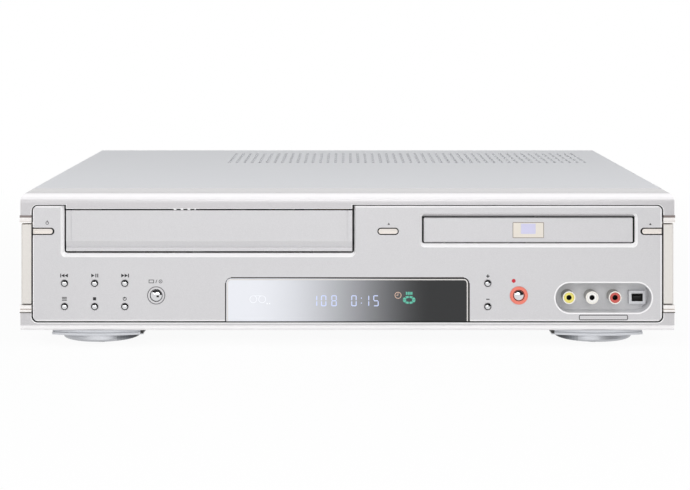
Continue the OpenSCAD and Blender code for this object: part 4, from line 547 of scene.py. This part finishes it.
# mid grey of the slot's lip, painted shade
lipGrey = mouldedPlastic("lipGrey", "8b8a8c", "9b9a9c")
greenBoard = circuitBoard("greenBoard", "12492d", "1f6b42")
tanBoard = circuitBoard("tanBoard", "a07c47", "8a6636")
ink = printedInk("greyInk", "171619", "232225")
redInk = printedInk("redInk", "b50c22", "c81a2e")
brownInk = printedInk("brownInk", "6f6157", "86776b")
# pale ink for the painted highlight along the pane's edge
windowRimHighlight = printedInk("windowRimHighlight", "cfcbc8", "dedbd8")
creamFoil = printedInk("creamFoil", "d8d1c6", "e6e0d6")
lilacFoil = printedInk("lilacFoil", "c3c1dc", "d2d1ea")
paleGlow = litPhosphor("paleGlow", "b5bfdf", 0.5)
tealGlow = litPhosphor("tealGlow", "54ab95", 0.36)
amberGlow = litPhosphor("amberGlow", "c9aa96", 0.5)
faintGlow = litPhosphor("faintGlow", "f4f6fb", 0.1)

finishes = {
    coverSilver: ["top_cover"],
    frameSilver: ["front_frame"],
    panelSilver: ["front_panel"],
    flapSilver: ["cassette_flap"],
    traySilver: ["tray_front"],
    bayLightenedSilver: ["jack_bay"],
    pillarCream: ["side_pillars"],
    collarCream: ["pillar_collars"],
    keyCream: ["standby_button", "open_close_button", "eject_button"],
    window: ["display_window"],
    chrome: ["rewind_button", "play_button", "forward_button", "disc_menu_button", "stop_button",
             "rec_speed_button", "select_button", "channel_up_button", "channel_down_button",
             "record_button"],
    salmon: ["record_ring"],
    nickel: ["jack_barrels"],
    jackYellow: ["video_jack_insert"],
    jackWhite: ["left_jack_insert"],
    jackRed: ["right_jack_insert"],
    socketAbs: ["dv_socket"],
    rearAbs: ["rear_sockets"],
    blackAbs: ["mains_inlet", "disc_turntable", "pickup_sled", "clamp_puck"],
    charcoalAbs: ["disc_tray", "loader_chassis"],
    greenBoard: ["main_board", "control_board"],
    tanBoard: ["power_board"],
    zinc: ["bottom_chassis", "rear_panel", "deck_plate", "carriage_slider", "cassette_holder", "pickup_base",
           "pinch_arm", "loading_motor", "case_screws"],
    footGrey: ["front_feet"],
    spun: ["foot_bowls"],
    rubber: ["rubber_feet", "loading_belt", "pinch_roller"],
    acetal: ["drive_gear", "pulley_gear", "motor_pulley", "supply_reel", "takeup_reel"],
    aluminium: ["head_drum", "lower_drum", "capstan"],
}
for material, names in finishes.items():
    for name in names:
        nodes[name].data.materials.clear()
        nodes[name].data.materials.append(material)
print("finishes:", len(finishes))


# turns a bmesh into a piece that rides on a body
def makePiece(name, bm, body, material):
    bmesh.ops.remove_doubles(bm, verts=bm.verts, dist=1e-7)
    bmesh.ops.recalc_face_normals(bm, faces=bm.faces)
    mesh = bpy.data.meshes.new(name)
    bm.to_mesh(mesh)
    bm.free()
    mesh.materials.append(material)
    piece = bpy.data.objects.new(name, mesh)
    bpy.context.scene.collection.objects.link(piece)
    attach(piece, body)


# a flat outline in X and Z millimetres, given thickness from front to back
def addPlate(bm, outline, front, back):
    face = bm.faces.new([bm.verts.new((x * mm, front, z * mm)) for x, z in outline])
    grown = bmesh.ops.extrude_face_region(bm, geom=[face])["geom"]
    moved = [v for v in grown if isinstance(v, bmesh.types.BMVert)]
    bmesh.ops.translate(bm, verts=moved, vec=(0, back - front, 0))


# a ring round an axis along Y, by its section spun full circle
def addRing(bm, centre, inner, outer, front, back, steps):
    x, z = centre
    corners = [(inner, front), (outer, front), (outer, back), (inner, back)]
    section = [bm.verts.new(((x + r) * mm, y, z * mm)) for r, y in corners]
    edges = [bm.edges.new((section[i], section[(i + 1) % 4])) for i in range(4)]
    bmesh.ops.spin(bm, geom=section + edges, cent=(x * mm, 0, z * mm), axis=(0, 1, 0), angle=math.tau,
                   steps=steps, use_merge=True)


# plates between two rings of points, from each point to the next
def addStrip(bm, outer, inner, front, back, closed):
    for i in range(0 if closed else 1, len(outer)):
        addPlate(bm, [outer[i - 1], outer[i], inner[i], inner[i - 1]], front, back)


# a thin outline with rounded corners, by a strip that runs round it
def addOutline(bm, x0, x1, z0, z1, corner, width, front, back):
    steps = 4
    rings = []
    for r in (corner, corner - width):
        ring = []
        for cx, cz, start in ((x1, z1, 0), (x0, z1, 90), (x0, z0, 180), (x1, z0, 270)):
            mx = cx - math.copysign(corner, cx - (x0 + x1) / 2)
            mz = cz - math.copysign(corner, cz - (z0 + z1) / 2)
            for k in range(steps + 1):
                angle = math.radians(start + 90 / steps * k)
                ring.append((mx + r * math.cos(angle), mz + r * math.sin(angle)))
        rings.append(ring)
    addStrip(bm, *rings, front, back, True)


# a thin rectangular frame
def addFrame(bm, x0, x1, z0, z1, width, front, back):
    addPlate(bm, rectangle((x0 + x1) / 2, z0, x1 - x0, width), front, back)
    addPlate(bm, rectangle((x0 + x1) / 2, z1, x1 - x0, width), front, back)
    for x in (x0, x1):
        addPlate(bm, rectangle(x, (z0 + z1) / 2, width, z1 - z0 - width), front, back)


def rectangle(x, z, width, height):
    w, h = width / 2, height / 2
    return [(x - w, z - h), (x + w, z - h), (x + w, z + h), (x - w, z + h)]


def triangle(x, z, size, turn):
    points = []
    for i in range(3):
        angle = math.radians(turn + 120 * i)
        points.append((x + size * math.cos(angle), z + size * math.sin(angle)))
    return points


def disc(x, z, radius, sides):
    return [(x + radius * math.cos(math.tau * i / sides), z + radius * math.sin(math.tau * i / sides))
            for i in range(sides)]


# the middle of a key, along X in millimetres
def middleOf(key):
    low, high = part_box(key)
    return (low.x + high.x) / 2 / mm


# fronts and backs of what is printed on the face and of what shines through it
printed = (panelFace - 0.03 * mm, panelFace + 0.05 * mm)
lit = (panelFace - 0.02 * mm, panelFace + 0.02 * mm)

# symbols over the keys, in millimetres, with rows as heights over the lip. The parts of the six symbols over
# the transport keys are shares of a symbol's height instead, and the thin ones shares of its bar's width
symbols = {
    "height": 2.45, "bar": 0.26, "arrow": 0.58, "turns": {"left": 180, "right": 0, "up": 90},
    "upperRow": 36.0, "lowerRow": 20.7,
    "upper": {"rewind_button": (("bar", -1), ("left", -0.25), ("left", 0.65)),
              "play_button": (("right", -0.6), ("bar", 0.35), ("bar", 0.85)),
              "forward_button": (("right", -0.65), ("right", 0.25), ("bar", 1))},
    "list": {"every": 0.38, "long": 1.3, "thin": 0.8}, "stop": 0.85,
    "dial": {"inner": 0.34, "outer": 0.52, "steps": 24, "handUp": 0.2, "handThin": 0.7, "handLong": 0.4},
    "selectRow": 31.2,
    "cassette": ((-3.2, 0, 3.4, 0.4), (-3.2, 1.9, 3.4, 0.4), (-4.7, 0.95, 0.4, 2.3), (-1.7, 0.95, 0.4, 2.3)),
    "slash": ((-0.5, -0.2), (-0.1, -0.2), (0.7, 2.1), (0.3, 2.1)),
    "disc": {"x": 2.9, "up": 0.95, "rings": ((0.85, 1.2, 24), (0.1, 0.35, 16))},
    "plusRow": 35.6, "minusRow": 20.4, "plusLong": 0.9,
    "wedges": ((27.2, 69.9), (199.3, 69.7)), "wedge": 0.95,
    "standby": {"x": -197.5, "up": 70.6, "inner": 0.75, "outer": 1.1, "steps": 24,
                "strokeUp": 71.6, "stroke": (0.35, 1.5)},
    "outline": {"x": (152.3, 184.6), "up": (6.6, 10.2), "corner": 1.1, "width": 0.5}}


def printSymbols():
    bm = bmesh.new()
    size = symbols["height"]
    bar = size * symbols["bar"]

    def plate(outline):
        addPlate(bm, outline, *printed)

    # back, play and pause, forward
    row = lip + symbols["upperRow"]
    for key, parts in symbols["upper"].items():
        for part, along in parts:
            x = middleOf(key) + size * along
            if part == "bar":
                plate(rectangle(x, row, bar, size))
            else:
                plate(triangle(x, row, size * symbols["arrow"], symbols["turns"][part]))
    # list, stop, speed
    row = lip + symbols["lowerRow"]
    left, middle, right = (middleOf(key) for key in symbols["upper"])
    look = symbols["list"]
    for i in (-1, 0, 1):
        plate(rectangle(left, row + i * size * look["every"], size * look["long"], bar * look["thin"]))
    plate(rectangle(middle, row, size * symbols["stop"], size * symbols["stop"]))
    look = symbols["dial"]
    addRing(bm, (right, row), size * look["inner"], size * look["outer"], *printed, look["steps"])
    plate(rectangle(right, row + size * look["handUp"], bar * look["handThin"], size * look["handLong"]))
    # cassette or disc, over the selector
    x, z = selectX, lip + symbols["selectRow"]
    for along, up, width, height in symbols["cassette"]:
        plate(rectangle(x + along, z + up, width, height))
    plate([(x + along, z + up) for along, up in symbols["slash"]])
    look = symbols["disc"]
    for inner, outer, steps in look["rings"]:
        addRing(bm, (x + look["x"], z + look["up"]), inner, outer, *printed, steps)
    # plus and minus of the channel keys
    x = middleOf("channel_up_button")
    long = size * symbols["plusLong"]
    plate(rectangle(x, lip + symbols["plusRow"], long, bar))
    plate(rectangle(x, lip + symbols["plusRow"], bar, long))
    plate(rectangle(x, lip + symbols["minusRow"], long, bar))
    # wedges over the eject key and the open and close key
    for x, up in symbols["wedges"]:
        plate(triangle(x, lip + up, symbols["wedge"], symbols["turns"]["up"]))
    # standby: a ring with a stroke through its top
    look = symbols["standby"]
    addRing(bm, (look["x"], lip + look["up"]), look["inner"], look["outer"], *printed, look["steps"])
    plate(rectangle(look["x"], lip + look["strokeUp"], *look["stroke"]))
    # rounded outline below the socket bay
    look = symbols["outline"]
    addOutline(bm, *look["x"], *(lip + up for up in look["up"]), look["corner"], look["width"], *printed)
    makePiece("key_symbols", bm, "root", ink)


# red dot over the record key
def printRecordDot():
    look = {"x": 109.4, "up": 32.5, "radius": 1.3, "sides": 24}
    bm = bmesh.new()
    addPlate(bm, disc(look["x"], lip + look["up"], look["radius"], look["sides"]), *printed)
    makePiece("record_dot", bm, "root", redInk)


# lit digits of up to seven bars, each with its middle along X, and the two dots between them
digits = {"width": 3.5, "height": 7.2, "bar": 0.62, "foot": 15.8, "gap": 0.18,
          "signs": (("1", -21.6), ("0", -15.6), ("8", -8.8), ("0", 4.3), ("1", 12.6), ("5", 18.8)),
          "bars": {"0": "abcdef", "1": "bc", "5": "afgcd", "8": "abcdefg"},
          "dots": {"x": 9.2, "up": (17.9, 21.2), "size": 0.65}}


def addDigit(bm, sign, x):
    width, height, bar, gap = digits["width"], digits["height"], digits["bar"], digits["gap"]
    z = lip + digits["foot"]
    flat = width - bar - 2 * gap
    tall = height / 2 - bar / 2 - 2 * gap
    left, right = x - width / 2 + bar / 2, x + width / 2 - bar / 2
    bars = {
        "a": rectangle(x, z + height - bar / 2, flat, bar),
        "b": rectangle(right, z + height * 0.75, bar, tall),
        "c": rectangle(right, z + height * 0.25, bar, tall),
        "d": rectangle(x, z + bar / 2, flat, bar),
        "e": rectangle(left, z + height * 0.25, bar, tall),
        "f": rectangle(left, z + height * 0.75, bar, tall),
        "g": rectangle(x, z + height / 2, flat, bar)}
    for key in digits["bars"][sign]:
        addPlate(bm, bars[key], *lit)


def lightDigits():
    bm = bmesh.new()
    for sign, x in digits["signs"]:
        addDigit(bm, sign, x)
    dots = digits["dots"]
    for up in dots["up"]:
        addPlate(bm, rectangle(dots["x"], lip + up, dots["size"], dots["size"]), *lit)
    makePiece("display_digits", bm, "root", paleGlow)


# lit disc of eight parts, seen at a slant, with four bars over it
def lightRing():
    look = {"x": 40.6, "up": 20.0, "wide": 4.2, "high": 2.6, "hole": 0.5, "parts": 8, "gap": 9, "steps": 4,
            "bars": {"x": 38.9, "every": 1.15, "count": 4, "up": 24.3, "size": (0.85, 1.9)}}
    bm = bmesh.new()
    x, z = look["x"], lip + look["up"]
    hole = (look["wide"] * look["hole"], look["high"] * look["hole"])
    for i in range(look["parts"]):
        start = 360 / look["parts"] * i + look["gap"] / 2
        end = start + 360 / look["parts"] - look["gap"]
        angles = [math.radians(start + (end - start) * k / look["steps"]) for k in range(look["steps"] + 1)]
        outer = [(x + look["wide"] * math.cos(a), z + look["high"] * math.sin(a)) for a in angles]
        inner = [(x + hole[0] * math.cos(a), z + hole[1] * math.sin(a)) for a in reversed(angles)]
        addPlate(bm, outer + inner, *lit)
    bars = look["bars"]
    for i in range(bars["count"]):
        addPlate(bm, rectangle(bars["x"] + i * bars["every"], lip + bars["up"], *bars["size"]), *lit)
    makePiece("display_ring", bm, "root", tealGlow)


# lit clock face with two hands
def lightClock():
    look = {"x": 33.3, "up": 23.0, "inner": 1.85, "outer": 2.2, "steps": 32,
            "hands": ((33.3, 23.7, 0.3, 1.5), (32.8, 23.0, 1.2, 0.3))}
    bm = bmesh.new()
    addRing(bm, (look["x"], lip + look["up"]), look["inner"], look["outer"], *lit, look["steps"])
    for x, up, width, height in look["hands"]:
        addPlate(bm, rectangle(x, lip + up, width, height), *lit)
    makePiece("display_clock", bm, "root", amberGlow)


# faint sign of a tape: two reels with a line over them, and two dots beside
def lightTape():
    look = {"reels": (-61.9, -56.1), "up": 20.4, "inner": 2.1, "outer": 2.45, "steps": 32,
            "line": (-59.0, 22.7, 5.8, 0.35), "dots": (-52.8, -51.2), "dotsUp": 17.6, "dot": 0.8}
    bm = bmesh.new()
    for x in look["reels"]:
        addRing(bm, (x, lip + look["up"]), look["inner"], look["outer"], *lit, look["steps"])
    x, up, width, height = look["line"]
    addPlate(bm, rectangle(x, lip + up, width, height), *lit)
    for x in look["dots"]:
        addPlate(bm, rectangle(x, lip + look["dotsUp"], look["dot"], look["dot"]), *lit)
    makePiece("display_tape", bm, "root", faintGlow)


# pale line just inside the pane's edge, round its two upper corners, as a painted highlight on that edge
def paintWindowRimHighlight():
    look = {"inset": 0.4, "width": 0.75, "corner": 3.2, "steps": 8, "foot": 0.1}
    bm = bmesh.new()
    foot = windowLow.z / mm + look["foot"]
    centres = ((paneLeft + look["corner"], 180), (paneRight - look["corner"], 90))
    rings = []
    for inset in (look["inset"], look["inset"] + look["width"]):
        r = look["corner"] - inset
        ring = [(paneLeft + inset, foot)]
        for cx, start in centres:
            for k in range(look["steps"] + 1):
                angle = math.radians(start - 90 * k / look["steps"])
                ring.append((cx + r * math.cos(angle), paneTop - look["corner"] + r * math.sin(angle)))
        ring.append((paneRight - inset, foot))
        rings.append(ring)
    addStrip(bm, *rings, *lit, False)
    makePiece("window_rim_highlight", bm, "root", windowRimHighlight)


# plain plate on the tray's front: a cream field, a brown edge round it and a lilac field on it
def trayPlate():
    look = {"x": 119.0, "up": 65.9, "size": (20.0, 9.9), "proud": 0.05, "sunk": 0.1, "layer": 0.01,
            "edgeX": (108.9, 129.1), "edgeUp": (60.9, 70.9), "edge": 0.35,
            "fieldUp": 66.8, "field": (9.6, 6.8)}
    front, back = panelFace - look["proud"] * mm, panelFace + look["sunk"] * mm
    bm = bmesh.new()
    addPlate(bm, rectangle(look["x"], lip + look["up"], *look["size"]), front, back)
    makePiece("tray_plate", bm, "tray", creamFoil)
    bm = bmesh.new()
    addFrame(bm, *look["edgeX"], *(lip + up for up in look["edgeUp"]), look["edge"],
             front - look["layer"] * mm, back)
    makePiece("tray_plate_edge", bm, "tray", brownInk)
    bm = bmesh.new()
    addPlate(bm, rectangle(look["x"], lip + look["fieldUp"], *look["field"]),
             front - 2 * look["layer"] * mm, back)
    makePiece("tray_plate_field", bm, "tray", lilacFoil)


# lip of the tray's slot, which hangs behind the rim above the tray; its mid grey is painted shade
def hangSlotLip():
    look = {"left": 1.2, "right": 1.4, "above": 0.95, "slot": 2.05, "front": 1.7, "back": 2.45}
    bm = bmesh.new()
    low, high = trayHigh.z / mm + look["above"], trayHigh.z / mm + look["slot"]
    left, right = trayLow.x / mm - look["left"], trayHigh.x / mm + look["right"]
    addPlate(bm, rectangle((left + right) / 2, (low + high) / 2, right - left, high - low),
             panelFace + look["front"] * mm, panelFace + look["back"] * mm)
    makePiece("slot_lip", bm, "root", lipGrey)


for make in (printSymbols, printRecordDot, lightDigits, lightRing, lightClock, lightTape, trayPlate,
             hangSlotLip, paintWindowRimHighlight):
    make()
print("marks: done")


# pale floor that keeps the shadow, and soft studio light, in metres
studio = {"floor": "fafafa", "floorSize": 6, "floorRough": 0.9, "ambient": 0.36, "whiteness": 0.94,
          "shadowTo": 0.3, "whiteFrom": 0.9}
lamps = {
    "overhead": {"at": (0, -0.95, 0.8), "towards": (0, -0.12, 0.06), "size": (2.4, 1.3), "power": 12.0},
    "front": {"at": (0, -2.0, 0.7), "towards": (0, -0.2, 0.05), "size": (2.8, 0.9), "power": 6.2}}


# one for a ray from the lens, or one that a polished or clear surface passes on
def directlySeen(tree):
    path = addNode(tree, "LightPath")
    seen = path.outputs["Is Camera Ray"]
    for ray in ("Is Glossy Ray", "Is Transmission Ray"):
        seen = addNode(tree, "Math", {"operation": "MAXIMUM"},
                       links={0: seen, 1: path.outputs[ray]}).outputs[0]
    return seen


# links a mesh that belongs to the studio, and not to the recorder
def addStage(name, bm):
    mesh = bpy.data.meshes.new(name)
    bm.to_mesh(mesh)
    bm.free()
    holder = bpy.data.objects.new(name, mesh)
    bpy.context.scene.collection.objects.link(holder)
    return holder


# the floor turns to plain white away from the recorder, and shows its shadow near it
def layFloor():
    bm = bmesh.new()
    bmesh.ops.create_grid(bm, x_segments=1, y_segments=1, size=studio["floorSize"])
    floor = addStage("floor", bm)
    material, tree, shader, place = startMaterial("floor", {"Roughness": studio["floorRough"],
                                                            "Base Color": hexColour(studio["floor"])})
    away = addNode(tree, "VectorMath", {"operation": "LENGTH"}, links={0: place})
    fade = addNode(tree, "MapRange", values={"From Min": studio["shadowTo"], "From Max": studio["whiteFrom"],
                                             "To Min": studio["whiteness"], "To Max": 1.0},
                   links={"Value": away.outputs["Value"]})
    share = addNode(tree, "Math", {"operation": "MULTIPLY"},
                    links={0: directlySeen(tree), 1: fade.outputs[0]})
    white = addNode(tree, "Emission", values={"Color": (1, 1, 1, 1), "Strength": 1.0})
    mixed = addNode(tree, "MixShader", links={0: share.outputs[0], 1: shader.outputs[0], 2: white.outputs[0]})
    tree.links.new(mixed.outputs[0], tree.nodes["Material Output"].inputs["Surface"])
    floor.data.materials.append(material)


# white behind the recorder, and a dim even light on it
def lightWorld():
    world = bpy.data.worlds.new("studio")
    bpy.context.scene.world = world
    world.use_nodes = True
    tree = world.node_tree
    strength = addNode(tree, "MapRange", values={"To Min": studio["ambient"], "To Max": 1.0},
                       links={"Value": directlySeen(tree)})
    background = tree.nodes["Background"]
    background.inputs["Color"].default_value = (1, 1, 1, 1)
    tree.links.new(strength.outputs[0], background.inputs["Strength"])


def addLamp(name, look):
    lamp = bpy.data.lights.new(name, "AREA")
    lamp.shape = "RECTANGLE"
    lamp.size, lamp.size_y = look["size"]
    lamp.energy = look["power"]
    holder = bpy.data.objects.new(name, lamp)
    holder.location = look["at"]
    holder.rotation_euler = (Vector(look["towards"]) - Vector(look["at"])).to_track_quat("-Z", "Y").to_euler()
    bpy.context.scene.collection.objects.link(holder)


# dark flag round the front, seen only in polished parts, which gives the plated keys their dark crescents
def hangFlag():
    look = {"y": -0.7, "z": 0.1, "inner": 0.3, "outer": 2.2, "from": -60, "sweep": 215, "steps": 32,
            "cloth": "050505"}
    bm = bmesh.new()
    start = math.radians(look["from"])
    ends = [bm.verts.new((r * math.cos(start), look["y"], look["z"] + r * math.sin(start)))
            for r in (look["inner"], look["outer"])]
    bmesh.ops.spin(bm, geom=ends + [bm.edges.new(ends)], cent=(0, look["y"], look["z"]), axis=(0, -1, 0),
                   angle=math.radians(look["sweep"]), steps=look["steps"])
    flag = addStage("flag", bm)
    cloth = startMaterial("flagCloth", {"Roughness": 1.0, "Base Color": hexColour(look["cloth"])})[0]
    flag.data.materials.append(cloth)
    for ray in ("camera", "diffuse", "transmission", "volume_scatter", "shadow"):
        setattr(flag, "visible_" + ray, False)


layFloor()
hangFlag()
lightWorld()
for name, look in lamps.items():
    addLamp(name, look)
print("studio: lit")
